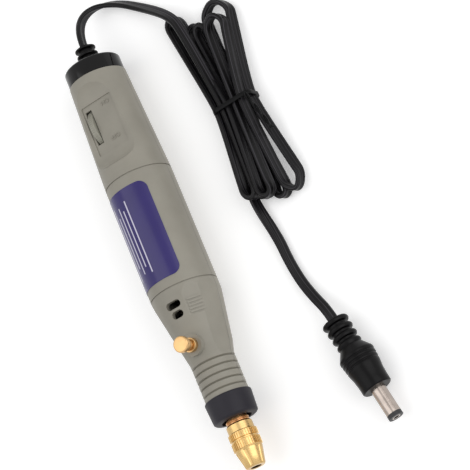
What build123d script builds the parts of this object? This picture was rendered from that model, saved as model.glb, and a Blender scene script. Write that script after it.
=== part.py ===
from build123d import *
import math
import os

# A slim mains-adapter rotary tool that lies on a table, with its lead tied in a hank.
# The tool lies along Y with its nose towards -Y and its button on top, +Z up.
# Places along the tool are stations, counted back from the tip of the chuck nut.

# Fits
running_play = 0.08
free_play = 0.35
slip_play = 0.15
overrun = 2.0

# Main forms, nose to tail
nut_length = 16.3
nut_to_ring = 1.8
ring_length = 8.7
neck_length = 14.2
flare_length = 4.2
taper_length = 19.3
hip_length = 3.7
barrel_length = 45.1
tail_length = 41.9
cap_length = 6.3

barrel_r = 12.7
neck_r = 8.1
flare_r = 9.35
tail_r = 10.95
wall = 1.9

ring_front = nut_length + nut_to_ring
ring_rear = ring_front + ring_length
neck_rear = ring_rear + neck_length
flare_rear = neck_rear + flare_length
hip_front = flare_rear + taper_length
front_seam = hip_front + hip_length
rear_seam = front_seam + barrel_length
cap_front = rear_seam + tail_length
tool_length = cap_front + cap_length
axis_height = barrel_r

# Surface of the casing
flare_round = 6.0
hip_round = 8.0
groove_width = 0.9
groove_depth = 0.35
neck_groove_count = 5
neck_groove_pitch = 2.7
flat_angle = 68.0
flat_depth = 0.7
patch_angle = 38.0
patch_back = 3.2
patch_length = 11.6
patch_width = 7.6
patch_depth = 0.55
patch_rib_count = 5
patch_rib_pitch = 1.2
patch_rib_width = 0.6
patch_rib_lead = 1.0
patch_rib_height = 0.3
vent_back = 6.1
vent_pitch = 3.6
vent_width = 2.7
vent_lengths = (4.6, 5.9)

# Switch facet, its panel and the slot for the wheel
facet_drop = 2.35
facet_back = 11.3
facet_length = 20.2
facet_front_round = 6.0
facet_rear_round = 11.4
panel_length = 19.8
panel_width = 13.4
panel_shift = 0.2
panel_depth = 0.4
panel_corner = 0.6
panel_floor = 1.0
panel_back = 12.2

# Chuck nut
nut_mouth_r = 2.0
nut_tip_r = 3.55
nut_cone_r = 4.95
nut_cone_length = 6.5
nut_knurl_r = 5.35
nut_knurl_lengths = (3.6, 2.9)
nut_waist_length = 0.7
nut_edge = 0.4
nut_notch_count = 6
nut_notch_r = 0.7
nut_collar_r = 4.9

# Collet
collet_bore_r = 1.6
collet_back = 1.3
collet_nose_r = 3.0
collet_nose_length = 3.4
collet_tail_r = 2.45
collet_length = 14.0
collet_slit = 0.5
collet_slit_length = 9.5
collet_cone = 16.5
collet_land = 1.9

# Spindle
spindle_back = 7.9
spindle_entry = 1.0
spindle_thread_r = 3.95
spindle_flange_r = 4.5
spindle_flange_length = 1.5
journal_r = 3.0
spindle_tail_r = 2.5
spindle_tail_length = 7.0
spindle_bore_length = 9.1
lock_collar_r = 4.5
lock_collar_length = 8.0
lock_hole_r = 1.15
lock_collar_space = 0.5

# Bearings
bearing_r = 6.0
bearing_width = 4.0
race_thickness = 0.95
ball_r = 0.5
ball_count = 7
ball_sides = 8
ball_cut_share = 0.55
bearing_lip = 3.4

# Nose ring
ring_r = 8.75
ring_front_r = 8.3
ring_edge = 0.5
ring_hole_r = 5.6
spigot_length = 4.4
spigot_step = 1.1

# Lock button
button_back = 5.5
boss_r = 4.0
boss_height = 10.6
bush_r = 2.6
bush_floor = 0.8
bush_bottom = 8.3
bush_top = 12.5
stem_r = 1.0
button_travel = 2.8
button_r = 2.5
button_length = 2.75
button_hollow = 1.0
button_wall = 0.55
button_edge = 0.4
spring_room_r = 1.85
pin_standoff = 0.6
clip_r = 2.2
clip_length = 0.45
spring_wire_r = 0.22
spring_turns = 6
spring_wire_sides = 4

# Coupling and motor
coupling_r = 4.2
coupling_waist_r = 3.4
coupling_waist_length = 4.0
coupling_grip = 5.0
coupling_space = 2.5
coupling_motor_space = 1.5
shaft_r = 1.0
motor_back = 5.8
motor_play = 0.6
motor_flat_cut = 2.5
motor_can_length = 26.5
motor_cap_length = 5.5
motor_skin = 0.8
magnet_thickness = 2.5
magnet_inset = 2.2
air_gap = 0.7
core_inset = 5.2
core_end_space = 7.3
core_neck = 2.4
core_shoe_share = 0.19
core_slot_opening = 1.1
core_hub_share = 0.42
winding_overhang = 1.4
commutator_share = 0.39
commutator_length = 3.4
brush_width = 2.2
brush_height = 1.8
brush_space = 1.55
terminal_width = 2.2
terminal_thickness = 0.4
terminal_length = 3.4
terminal_spacing = 8.4

# Inner ribs of the casing
rib = 1.5
bearing_rib = 1.4
neck_bore_r = 6.3
motor_stop_lip = 2.6

# Speed control
wheel_r = 8.0
wheel_width = 2.0
wheel_back = 23.2
wheel_side = 4.3
wheel_sink = 6.2
wheel_tooth_count = 30
wheel_tooth_r = 0.35
wheel_slot_length = 13.6
wheel_stub_r = 1.5
wheel_stub_length = 3.0
control_length = 11.0
control_width = 6.2
control_bottom = 3.2
control_space = 1.2
board_thickness = 1.2
board_play = 0.1
board_length = 24.4
board_back = 7.7
board_part_height = 2.2
board_part_size = 3.6
board_part_shares = (0.12, 0.88)

# Case screws
screw_r = 1.1
screw_head_r = 1.9
screw_head_length = 1.5
screw_length = 9.5
screw_post_r = 2.8
screw_seat = 6.2
front_screw_ahead = 4.0
front_screw_play = 0.6
rear_screw_back = 35.2
rear_screw_inset = 5.25

# Cap and cord boot
cap_r = 10.8
cap_edge = 0.9
cap_edge_share = 0.29
cap_spigot_length = 3.6
cap_spigot_wall = 1.6
cap_face = 3.0
boot_neck_r = 2.8
boot_flange_r = 4.05
boot_flange_length = 0.9
boot_flange_places = (3.9, 6.5)
boot_length = 8.0
boot_stop_r = 4.6
boot_stop_length = 1.2

# Label
label_back = 3.8
label_length = 37.0
label_from = -82.0
label_to = 36.4
label_thickness = 0.15
label_corner = 3.3

# Lead, a flat twin laid on edge
lead_height = 4.0
lead_thickness = 2.0
lead_chamfer = 0.55
lead_inside = 5.0
lead_straight = 5.0
arc_share = 0.45
fold_share = 0.98
wire_r = 0.6
wire_sides = 8
wire_slack = 4.6
wire_landing = 3.0

# Route of the lead from the boot to the hank and from the hank to the plug
lead_route = (
    (1.0, 101.5, 8.0),
    (6.5, 104.5, 4.0),
    (15.0, 101.5, 2.0),
    (24.0, 94.0, 2.0),
    (31.5, 87.5, 4.6),
)
plug_lead_route = (
    (37.0, -9.5, 2.0),
    (37.3, -18.5, 2.0),
    (38.6, -27.5, 2.2),
    (41.6, -35.6, 3.8),
)

# Hank of the lead
hank_x = 44.5
hank_waist_y = 39.8
hank_top_y = 78.5
hank_bottom_y = 3.5
hank_columns = 6
hank_waist_pitch = 2.45
hank_top_pitch = 4.9
hank_bottom_pitch = 4.2
hank_entry_shift = 2.3
hank_exit_shift = 1.6
hank_layer_pitch = 4.5
hank_lift = 0.9
hank_top_slope = -0.28
hank_bottom_slope = -0.05
hank_waist_round = 60.0
hank_reach = 6.0
hank_top_shares = (0.10, -0.20, 0.30, 0.55, -0.6)
hank_bottom_shares = (0.25, 0.0, 0.55, -0.30, 0.2)
tie_thickness = 0.6
tie_width = 2.4
tie_play = 0.12
tie_side_play = 0.7
tie_corner = 1.3
tie_tail_length = 15.0
tie_tail_width = 2.2
tie_tail_angle = -83.0

# Plug
plug_rear_x = 46.1
plug_rear_y = -47.2
plug_angle = -80.0
plug_rib_count = 4
plug_rib_pitch = 3.0
plug_rib_r = 4.7
plug_rib_length = 1.9
plug_rib_edge = 0.4
plug_neck_r = 3.5
plug_shoulder_r = 4.6
plug_shoulder_length = 3.6
plug_r = 6.7
plug_front_r = 5.5
plug_grip_length = 14.0
plug_barrel_r = 2.75
plug_barrel_length = 12.0
plug_barrel_skin = 0.5
plug_ring_length = 1.5
plug_contact_r = 1.55
plug_pin_r = 1.05
plug_seat = 3.0
plug_seat_step = 0.25
plug_pin_depth = 9.5


def y_at(station):
    return station - tool_length / 2


tool_axis = Axis((0, 0, axis_height), (0, 1, 0))
lengthwise = Plane(origin=(0, y_at(0), axis_height), x_dir=(0, 1, 0), z_dir=(1, 0, 0))


def across(station):
    """The plane square to the tool at a station, seen from the nose, with +Z up."""
    return Plane(origin=(0, y_at(station), axis_height), x_dir=(-1, 0, 0), z_dir=(0, 1, 0))


def turn(outline, mode=Mode.ADD):
    """A body turned about the tool's axis from (station, radius) points."""
    with BuildSketch(lengthwise) as section:
        with BuildLine():
            Polyline(*outline, close=True)
        make_face()
    revolve(section.sketch, axis=tool_axis, mode=mode)


def ring(start, end, inner, outer, mode=Mode.ADD):
    """A plain ring or disc about the tool's axis, between two stations."""
    with BuildSketch(across(start)) as section:
        Circle(outer)
        if inner > 0:
            Circle(inner, mode=Mode.SUBTRACT)
    extrude(section.sketch, amount=end - start, mode=mode)


def outward(angle):
    """The direction away from the axis, at an angle from the top towards +X."""
    return Vector(math.sin(math.radians(angle)), 0, math.cos(math.radians(angle)))


def half_plane(angle):
    """The plane of stations and radii that stands out of the axis at an angle."""
    return Plane(origin=(0, y_at(0), axis_height), x_dir=(0, 1, 0), z_dir=outward(angle + 90))


def surface_plane(angle, station, radius, slope=0):
    """A plane that faces outward at a station, its y towards the tail, tilted by a slope."""
    lean = math.radians(slope)
    return Plane(
        origin=Vector(0, y_at(station), axis_height) + outward(angle) * radius,
        x_dir=outward(angle + 90),
        z_dir=outward(angle) * math.cos(lean) - Vector(0, math.sin(lean), 0),
    )


def save(piece, name):
    piece.part.label = name
    export_step(piece.part, f"parts/{name}.step")


os.makedirs("parts", exist_ok=True)

# Stations of the inner train, worked out from what carries it
front_bearing = ring_front + bearing_lip
button_station = neck_rear + button_back
lock_collar_front = button_station - lock_collar_length / 2
rear_bearing = lock_collar_front + lock_collar_length + lock_collar_space
spindle_rear = rear_bearing + bearing_width + spindle_tail_length
coupling_front = rear_bearing + bearing_width + coupling_space
motor_front = front_seam + motor_back
coupling_rear = motor_front - coupling_motor_space
motor_split = motor_front + motor_can_length
motor_rear = motor_split + motor_cap_length
facet_front = rear_seam + facet_back
facet_rear = facet_front + facet_length
wheel_station = rear_seam + wheel_back
motor_r = barrel_r - wall - motor_play
motor_stop_r = motor_r - motor_stop_lip
motor_flat = 2 * (motor_r - motor_flat_cut)
magnet_r = motor_r - motor_skin
core_r = magnet_r - magnet_thickness - air_gap
core_shoe = core_r * core_shoe_share
core_hub_r = core_r * core_hub_share
commutator_r = core_r * commutator_share
core_length = motor_can_length - core_inset - core_end_space
brush_length = motor_r - magnet_thickness - commutator_r - slip_play - brush_space
spigot_r = neck_r - spigot_step
spigot_rear = ring_rear + spigot_length
tail_bore_r = tail_r - wall
cap_spigot_front = cap_front - cap_spigot_length
facet_height = tail_r - facet_drop
wheel_height = facet_height - wheel_sink
ceiling_height = facet_height - panel_depth - panel_floor
control_top = ceiling_height - control_space
ceiling_front = facet_front - facet_front_round - rib
ceiling_rear = facet_rear + facet_rear_round / 2
board_front = rear_seam + board_back
board_rear = board_front + board_length
board_bottom = -control_bottom - board_thickness
board_room_r = min(barrel_r - wall, tail_bore_r) - board_play
board_width = 2 * math.sqrt(board_room_r**2 - board_bottom**2)
front_screw_side = coupling_r + screw_post_r + front_screw_play
rear_screw_side = tail_r - rear_screw_inset
screw_stations = (front_seam - front_screw_ahead, rear_seam + rear_screw_back)
screw_spots = [
    (side * offset, y_at(station))
    for station, offset in zip(screw_stations, (front_screw_side, rear_screw_side))
    for side in (-1, 1)
]

# The room inside the casing
with BuildPart() as cavity:
    turn([
        (ring_rear - overrun, 0),
        (ring_rear - overrun, spigot_r),
        (spigot_rear, spigot_r),
        (spigot_rear, neck_bore_r),
        (neck_rear, neck_bore_r),
        (flare_rear, flare_r - wall),
        (hip_front, barrel_r - wall),
        (rear_seam, barrel_r - wall),
        (cap_spigot_front, tail_bore_r),
        (cap_front + overrun, tail_bore_r),
        (cap_front + overrun, 0),
    ])
    with BuildSketch(lengthwise) as over_ceiling:
        with Locations((ceiling_front, ceiling_height)):
            Rectangle(ceiling_rear - ceiling_front, barrel_r, align=(Align.MIN, Align.MIN))
    extrude(amount=barrel_r, both=True, mode=Mode.SUBTRACT)

# Ribs and posts that stand in it
with BuildPart() as inner_ribs:
    ring(rear_bearing - bearing_rib, rear_bearing + bearing_width + bearing_rib,
         bearing_r - race_thickness + slip_play, barrel_r)
    ring(rear_bearing, rear_bearing + bearing_width, 0, bearing_r, mode=Mode.SUBTRACT)
    ring(motor_front - rib, motor_front, motor_stop_r, barrel_r)
    ring(motor_front + 2 * rib, motor_front + 3 * rib, motor_r, barrel_r)
    ring(motor_split - 3 * rib, motor_split - 2 * rib, motor_r, barrel_r)
    ring(motor_rear, motor_rear + rib, motor_stop_r, barrel_r)
    for start in (board_front, board_rear - rib):
        with BuildSketch(across(start)) as ledge:
            with Locations((0, board_bottom)):
                Rectangle(2 * barrel_r, barrel_r, align=(Align.CENTER, Align.MAX))
        extrude(amount=rib)
    with BuildSketch(Plane.XY.offset(axis_height - barrel_r)) as posts:
        with Locations(*screw_spots):
            Circle(screw_post_r)
    extrude(amount=2 * barrel_r)
    add(cavity.part, mode=Mode.INTERSECT)

# Both halves of the casing in one, before they are parted
with BuildPart() as casing:
    with BuildSketch(lengthwise) as profile:
        with BuildLine():
            FilletPolyline(
                (ring_rear, neck_r),
                (neck_rear, neck_r),
                (flare_rear, flare_r),
                (hip_front, barrel_r),
                (rear_seam, barrel_r),
                radius=(flare_round, flare_round, hip_round),
            )
            Polyline(
                (rear_seam, barrel_r),
                (cap_front, tail_r),
                (cap_front, 0),
                (ring_rear, 0),
                (ring_rear, neck_r),
            )
        make_face()
    revolve(axis=tool_axis)
    with BuildSketch(Plane.XY.offset(axis_height)) as boss:
        with Locations((0, y_at(button_station))):
            Circle(boss_r)
    extrude(amount=boss_height)
    add(cavity.part, mode=Mode.SUBTRACT)
    add(inner_ribs.part)

    # Grooves round the neck and at both seams
    with BuildSketch(lengthwise) as grooves:
        for number in range(neck_groove_count):
            station = neck_rear - (number + 1 / 2) * neck_groove_pitch
            with Locations((station, neck_r)):
                RegularPolygon(groove_depth * 2, 3, rotation=-90)
        for station in (front_seam, rear_seam):
            with Locations((station, barrel_r)):
                Rectangle(groove_width / 2, groove_depth * 2)
    revolve(axis=tool_axis, mode=Mode.SUBTRACT)

    # Flats on both sides of the taper, and the finger patch on its right
    taper_slope = math.degrees(math.atan2(barrel_r - flare_r, taper_length))
    patch_station = hip_front + patch_back - patch_length / 2
    patch_surface_r = flare_r + (patch_station - flare_rear) * (barrel_r - flare_r) / taper_length

    patch_r = patch_surface_r - patch_depth
    flat_station = (neck_rear + front_seam) / 2
    flat_r = flare_r + (flat_station - flare_rear) * (barrel_r - flare_r) / taper_length - flat_depth
    first_rib = patch_rib_lead - patch_length / 2
    for side in (-1, 1):
        with BuildSketch(surface_plane(side * flat_angle, flat_station, flat_r, taper_slope)):
            Rectangle(2 * barrel_r, front_seam - neck_rear)
        extrude(amount=overrun, mode=Mode.SUBTRACT)
    patch_plane = surface_plane(patch_angle, patch_station, patch_r, taper_slope)
    with BuildSketch(patch_plane):
        Rectangle(patch_width, patch_length)
    extrude(amount=overrun, mode=Mode.SUBTRACT)
    with BuildSketch(patch_plane):
        for number in range(patch_rib_count):
            with Locations((0, first_rib + number * patch_rib_pitch)):
                Rectangle(patch_width - 2 * patch_rib_lead, patch_rib_width)
    extrude(amount=patch_rib_height)

    # The switch facet with its panel and the slot for the wheel
    with BuildSketch(lengthwise) as facet:
        with Locations((facet_front - facet_front_round, facet_height)):
            Rectangle(
                facet_front_round + facet_length + facet_rear_round,
                2 * barrel_r,
                align=(Align.MIN, Align.MIN),
            )
        fillet(facet.vertices().group_by(Axis.Y)[0].sort_by(Axis.X)[0], radius=facet_front_round)
        fillet(facet.vertices().group_by(Axis.Y)[0].sort_by(Axis.X)[-1], radius=facet_rear_round)
    extrude(amount=barrel_r, both=True, mode=Mode.SUBTRACT)
    panel_station = rear_seam + panel_back + panel_length / 2
    with BuildSketch(Plane.XY.offset(axis_height + facet_height - panel_depth)):
        with Locations((panel_shift, y_at(panel_station))):
            RectangleRounded(panel_width, panel_length, panel_corner)
    extrude(amount=overrun, mode=Mode.SUBTRACT)
    with BuildSketch(Plane.XY.offset(axis_height + ceiling_height - overrun / 2)):
        with Locations((-wheel_side, y_at(wheel_station))):
            Rectangle(wheel_width + 2 * free_play, wheel_slot_length)
    extrude(amount=overrun, mode=Mode.SUBTRACT)

    # Vents, the hole for the lock bush and the screw holes
    with BuildSketch(Plane.XY.offset(axis_height + bearing_r)):
        for number, vent_length in enumerate(vent_lengths):
            with Locations((0, y_at(hip_front - vent_back + number * vent_pitch))):
                SlotOverall(vent_length, vent_width)
    extrude(amount=barrel_r, mode=Mode.SUBTRACT)
    with BuildSketch(Plane.XY.offset(axis_height)):
        with Locations((0, y_at(button_station))):
            Circle(bush_r)
    extrude(amount=boss_height + overrun, mode=Mode.SUBTRACT)
    with BuildSketch(Plane.XY.offset(axis_height - screw_seat)):
        with Locations(*screw_spots):
            Circle(screw_head_r + slip_play)
    extrude(amount=-barrel_r, mode=Mode.SUBTRACT)
    with BuildSketch(Plane.XY.offset(axis_height - screw_seat)):
        with Locations(*screw_spots):
            Circle(screw_r)
    extrude(amount=screw_length, mode=Mode.SUBTRACT)

parting = Plane.XY.offset(axis_height)
with BuildPart() as upper_shell:
    add(casing.part)
    split(bisect_by=parting, keep=Keep.TOP)
save(upper_shell, "upper_shell")

with BuildPart() as lower_shell:
    add(casing.part)
    split(bisect_by=parting, keep=Keep.BOTTOM)
save(lower_shell, "lower_shell")

with BuildPart() as case_screws:
    with BuildSketch(Plane.XY.offset(axis_height - screw_seat)):
        with Locations(*screw_spots):
            Circle(screw_head_r)
    extrude(amount=-screw_head_length)
    with BuildSketch(Plane.XY.offset(axis_height - screw_seat)):
        with Locations(*screw_spots):
            Circle(screw_r)
    extrude(amount=screw_length)
save(case_screws, "case_screws")

with BuildPart() as nose_ring:
    turn([
        (ring_front, ring_hole_r),
        (ring_front, ring_front_r - ring_edge),
        (ring_front + ring_edge, ring_front_r),
        (ring_rear - ring_edge, ring_r),
        (ring_rear, ring_r - ring_edge),
        (ring_rear, spigot_r),
        (spigot_rear, spigot_r),
        (spigot_rear, bearing_r),
        (front_bearing, bearing_r),
        (front_bearing, ring_hole_r),
    ])
save(nose_ring, "nose_ring")

with BuildPart() as rear_cap:
    turn([
        (cap_spigot_front, tail_bore_r - cap_spigot_wall),
        (cap_spigot_front, tail_bore_r),
        (cap_front, tail_bore_r),
        (cap_front, cap_r),
        (tool_length - cap_edge, cap_r),
        (tool_length - cap_edge * cap_edge_share, cap_r - cap_edge * cap_edge_share),
        (tool_length, cap_r - cap_edge),
        (tool_length, boot_neck_r),
        (tool_length - cap_face, boot_neck_r),
        (tool_length - cap_face, tail_bore_r - cap_spigot_wall),
    ])
save(rear_cap, "rear_cap")

# The boot's stop sits inside the cap's face and its flanges stand outside
with BuildPart() as cable_boot:
    stop_rear = tool_length - cap_face
    ring(stop_rear - boot_stop_length, stop_rear, 0, boot_stop_r)
    ring(stop_rear, tool_length + boot_length, 0, boot_neck_r)
    for place in boot_flange_places:
        ring(tool_length + place, tool_length + place + boot_flange_length, 0, boot_flange_r)
    with BuildSketch(across(stop_rear - boot_stop_length)):
        Rectangle(lead_thickness, lead_height)
    extrude(amount=cap_face + boot_stop_length + boot_length, mode=Mode.SUBTRACT)
save(cable_boot, "cable_boot")

# The label wraps the barrel between two angles, with its four corners rounded off
label_front = front_seam + label_back
corner_turn = math.degrees(label_corner / barrel_r)
with BuildPart() as label:
    with BuildSketch(half_plane(label_from)) as label_section:
        with Locations((label_front, barrel_r)):
            Rectangle(label_length, label_thickness, align=(Align.MIN, Align.MIN))
    revolve(axis=tool_axis, revolution_arc=label_to - label_from)
    label_rear = label_front + label_length
    for around, angle in ((-1, label_from + corner_turn), (1, label_to - corner_turn)):
        for along, station in ((-1, label_front + label_corner), (1, label_rear - label_corner)):
            with BuildSketch(surface_plane(angle, station, barrel_r - overrun)):
                with Locations((around * label_corner, along * label_corner)):
                    Rectangle(2 * label_corner, 2 * label_corner)
                Circle(label_corner, mode=Mode.SUBTRACT)
                with Locations((-around * label_corner / 2, 0)):
                    Rectangle(label_corner, 4 * label_corner, mode=Mode.SUBTRACT)
                with Locations((0, -along * label_corner / 2)):
                    Rectangle(4 * label_corner, label_corner, mode=Mode.SUBTRACT)
            extrude(amount=2 * overrun, mode=Mode.SUBTRACT)
save(label, "label")


def drill_lock_holes():
    """The two crossed holes that the lock's pin drops into."""
    for direction in ((1, 0, 0), (0, 0, 1)):
        with BuildSketch(Plane(origin=(0, y_at(button_station), axis_height), z_dir=direction)) as hole:
            Circle(lock_hole_r)
        extrude(hole.sketch, amount=barrel_r, both=True, mode=Mode.SUBTRACT)


# Chuck nut and collet, which share one inner profile with a little play between
nut_step = nut_cone_length + nut_waist_length
first_knurl_end = nut_step + nut_knurl_lengths[0]
second_knurl = first_knurl_end + nut_waist_length
second_knurl_end = second_knurl + nut_knurl_lengths[1]
collet_nose_end = collet_back + collet_nose_length
collet_mouth_r = collet_nose_r - collet_nose_length * math.tan(math.radians(collet_cone))
nut_seat_front = collet_back - slip_play
nut_throat_r = collet_nose_r + slip_play
thread_front = spindle_back - spindle_entry

with BuildPart() as chuck_nut:
    turn([
        (0, nut_mouth_r),
        (0, nut_tip_r - nut_edge),
        (nut_edge, nut_tip_r),
        (nut_cone_length, nut_cone_r),
        (nut_step, nut_cone_r),
        (nut_step, nut_knurl_r),
        (first_knurl_end, nut_knurl_r),
        (first_knurl_end, nut_cone_r),
        (second_knurl, nut_cone_r),
        (second_knurl, nut_knurl_r),
        (second_knurl_end, nut_knurl_r),
        (second_knurl_end, nut_collar_r),
        (nut_length, nut_collar_r),
        (nut_length, spindle_thread_r + running_play),
        (thread_front, spindle_thread_r + running_play),
        (thread_front, nut_throat_r),
        (collet_nose_end, nut_throat_r),
        (nut_seat_front, nut_mouth_r),
    ])
    with BuildSketch(across(nut_step)):
        with PolarLocations(nut_knurl_r + nut_notch_r / 2, nut_notch_count):
            Circle(nut_notch_r)
    extrude(amount=second_knurl_end - nut_step, mode=Mode.SUBTRACT)
save(chuck_nut, "chuck_nut")

with BuildPart() as collet:
    turn([
        (collet_back, collet_bore_r),
        (collet_back, collet_mouth_r),
        (collet_nose_end, collet_nose_r),
        (collet_nose_end + collet_land, collet_nose_r),
        (collet_nose_end + collet_land + collet_nose_r - collet_tail_r, collet_tail_r),
        (collet_back + collet_length, collet_tail_r),
        (collet_back + collet_length, collet_bore_r),
    ])
    with BuildSketch(across(collet_back)):
        Rectangle(2 * nut_cone_r, collet_slit)
        Rectangle(collet_slit, 2 * nut_cone_r)
    extrude(amount=collet_slit_length, mode=Mode.SUBTRACT)
save(collet, "collet")

with BuildPart() as spindle:
    turn([
        (spindle_back, collet_tail_r + running_play),
        (spindle_back, spindle_thread_r - nut_edge),
        (spindle_back + nut_edge, spindle_thread_r),
        (front_bearing - spindle_flange_length, spindle_thread_r),
        (front_bearing - spindle_flange_length, spindle_flange_r),
        (front_bearing, spindle_flange_r),
        (front_bearing, journal_r),
        (rear_bearing + bearing_width, journal_r),
        (rear_bearing + bearing_width, spindle_tail_r),
        (spindle_rear, spindle_tail_r),
        (spindle_rear, 0),
        (spindle_back + spindle_bore_length, 0),
        (spindle_back + spindle_bore_length, collet_tail_r + running_play),
    ])
    drill_lock_holes()
save(spindle, "spindle")

with BuildPart() as lock_collar:
    ring(lock_collar_front, lock_collar_front + lock_collar_length, journal_r, lock_collar_r)
    drill_lock_holes()
save(lock_collar, "lock_collar")

# Two sealed bearings, each with two rings and its balls
for place, station in (("front", front_bearing), ("rear", rear_bearing)):
    with BuildPart() as inner_race:
        ring(station, station + bearing_width, journal_r, journal_r + race_thickness)
    save(inner_race, f"{place}_bearing_inner")
    with BuildPart() as outer_race:
        ring(station, station + bearing_width, bearing_r - race_thickness, bearing_r)
    save(outer_race, f"{place}_bearing_outer")
    with BuildPart() as balls:
        with BuildSketch(across(station + bearing_width / 2 - ball_r)):
            with PolarLocations((journal_r + bearing_r) / 2, ball_count):
                RegularPolygon(ball_r, ball_sides)
        extrude(amount=2 * ball_r)
        chamfer(balls.faces().filter_by(Axis.Y).edges(), length=ball_r * ball_cut_share)
    save(balls, f"{place}_bearing_balls")

with BuildPart() as coupling:
    waist_front = coupling_rear - coupling_grip - coupling_waist_length
    turn([
        (coupling_front, spindle_tail_r),
        (coupling_front, coupling_r),
        (waist_front, coupling_r),
        (waist_front, coupling_waist_r),
        (waist_front + coupling_waist_length, coupling_waist_r),
        (waist_front + coupling_waist_length, coupling_r),
        (coupling_rear, coupling_r),
        (coupling_rear, shaft_r),
        (coupling_rear - coupling_grip, shaft_r),
        (coupling_rear - coupling_grip, 0),
        (spindle_rear, 0),
        (spindle_rear, spindle_tail_r),
    ])
save(coupling, "coupling")


def can_outline(skin):
    """The motor's round section with two flats, a skin's thickness inside its outside."""
    Circle(motor_r - skin)
    Rectangle(2 * motor_r, motor_flat - 2 * skin, mode=Mode.INTERSECT)


shaft_hole_r = shaft_r + running_play
core_front = motor_front + core_inset
core_rear = core_front + core_length
commutator_front = core_rear + winding_overhang + free_play

with BuildPart() as motor_can:
    with BuildSketch(across(motor_front)):
        can_outline(0)
    extrude(amount=motor_can_length)
    with BuildSketch(across(motor_front + motor_skin)):
        can_outline(motor_skin)
    extrude(amount=motor_can_length, mode=Mode.SUBTRACT)
    with BuildSketch(across(motor_front)):
        Circle(shaft_hole_r)
    extrude(amount=motor_can_length, mode=Mode.SUBTRACT)
save(motor_can, "motor_can")

with BuildPart() as motor_end_cap:
    with BuildSketch(across(motor_split)):
        can_outline(0)
    extrude(amount=motor_cap_length)
    with BuildSketch(across(motor_split)):
        can_outline(magnet_thickness)
    extrude(amount=motor_cap_length - brush_height, mode=Mode.SUBTRACT)
    with BuildSketch(across(motor_split)):
        Circle(shaft_hole_r)
    extrude(amount=motor_cap_length, mode=Mode.SUBTRACT)
save(motor_end_cap, "motor_end_cap")

with BuildPart() as magnets:
    with BuildSketch(across(motor_front + magnet_inset)):
        Circle(magnet_r)
        Circle(magnet_r - magnet_thickness, mode=Mode.SUBTRACT)
        Rectangle(2 * magnet_r, motor_flat - 2 * (motor_skin + magnet_inset), mode=Mode.INTERSECT)
    extrude(amount=motor_can_length - 2 * magnet_inset)
save(magnets, "magnets")

slot_angle = 120
with BuildSketch(across(core_front)) as slots:
    Circle(core_r - core_shoe)
    Circle(core_hub_r, mode=Mode.SUBTRACT)
    with PolarLocations(core_r / 2, 3):
        Rectangle(core_r, core_neck, mode=Mode.SUBTRACT)

with BuildPart() as armature_core:
    ring(core_front, core_rear, shaft_r, core_r)
    extrude(slots.sketch, amount=core_length, mode=Mode.SUBTRACT)
    with BuildSketch(across(core_front)):
        with PolarLocations(core_r - core_shoe / 2, 3, start_angle=slot_angle / 2):
            Rectangle(2 * core_shoe, core_slot_opening)
    extrude(amount=core_length, mode=Mode.SUBTRACT)
save(armature_core, "armature_core")

with BuildPart() as windings:
    coils = slots.sketch.moved(Location((0, -winding_overhang, 0)))
    extrude(coils, amount=core_length + 2 * winding_overhang)
save(windings, "windings")

with BuildPart() as motor_shaft:
    ring(coupling_rear - coupling_grip, motor_rear, 0, shaft_r)
save(motor_shaft, "motor_shaft")

with BuildPart() as commutator:
    ring(commutator_front, commutator_front + commutator_length, shaft_r, commutator_r)
save(commutator, "commutator")

with BuildPart() as brushes:
    brush_station = commutator_front + commutator_length / 2
    brush_x = commutator_r + slip_play + brush_length / 2
    for side in (-1, 1):
        with Locations((side * brush_x, y_at(brush_station), axis_height)):
            Box(brush_length, brush_width, brush_height)
save(brushes, "brushes")

with BuildPart() as terminals:
    for side in (-1, 1):
        with Locations((side * terminal_spacing / 2, y_at(motor_rear + terminal_length / 2), axis_height)):
            Box(terminal_width, terminal_length, terminal_thickness)
save(terminals, "terminals")

# Spindle lock
with BuildPart() as lock_bush:
    with BuildSketch(Plane.XY.offset(axis_height + bush_bottom)):
        with Locations((0, y_at(button_station))):
            Circle(bush_r)
    extrude(amount=bush_top - bush_bottom)
    with BuildSketch(Plane.XY.offset(axis_height + bush_bottom)):
        with Locations((0, y_at(button_station))):
            Circle(stem_r + running_play)
    extrude(amount=bush_floor, mode=Mode.SUBTRACT)
    with BuildSketch(Plane.XY.offset(axis_height + bush_bottom + bush_floor)):
        with Locations((0, y_at(button_station))):
            Circle(spring_room_r)
    extrude(amount=bush_top - bush_bottom, mode=Mode.SUBTRACT)
save(lock_bush, "lock_bush")

pin_bottom = lock_collar_r + pin_standoff
button_bottom = bush_top + button_travel + free_play
with BuildPart() as lock_button:
    with BuildSketch(Plane.XY.offset(axis_height + button_bottom)):
        with Locations((0, y_at(button_station))):
            Circle(button_r)
    extrude(amount=button_length)
    chamfer(lock_button.edges().group_by(Axis.Z)[-1], length=button_edge)
    with BuildSketch(Plane.XY.offset(axis_height + button_bottom)):
        with Locations((0, y_at(button_station))):
            Circle(button_r - button_wall)
    extrude(amount=button_hollow, mode=Mode.SUBTRACT)
    with BuildSketch(Plane.XY.offset(axis_height + pin_bottom)):
        with Locations((0, y_at(button_station))):
            Circle(stem_r)
    extrude(amount=button_bottom + button_hollow - pin_bottom)
save(lock_button, "lock_button")

with BuildPart() as lock_clip:
    with BuildSketch(Plane.XY.offset(axis_height + bush_bottom - slip_play)):
        with Locations((0, y_at(button_station))):
            Circle(clip_r)
            Circle(stem_r, mode=Mode.SUBTRACT)
            with Locations((0, clip_r)):
                Rectangle(stem_r, 2 * (clip_r - stem_r) + overrun / 2, mode=Mode.SUBTRACT)
    extrude(amount=-clip_length)
save(lock_clip, "lock_clip")

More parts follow.
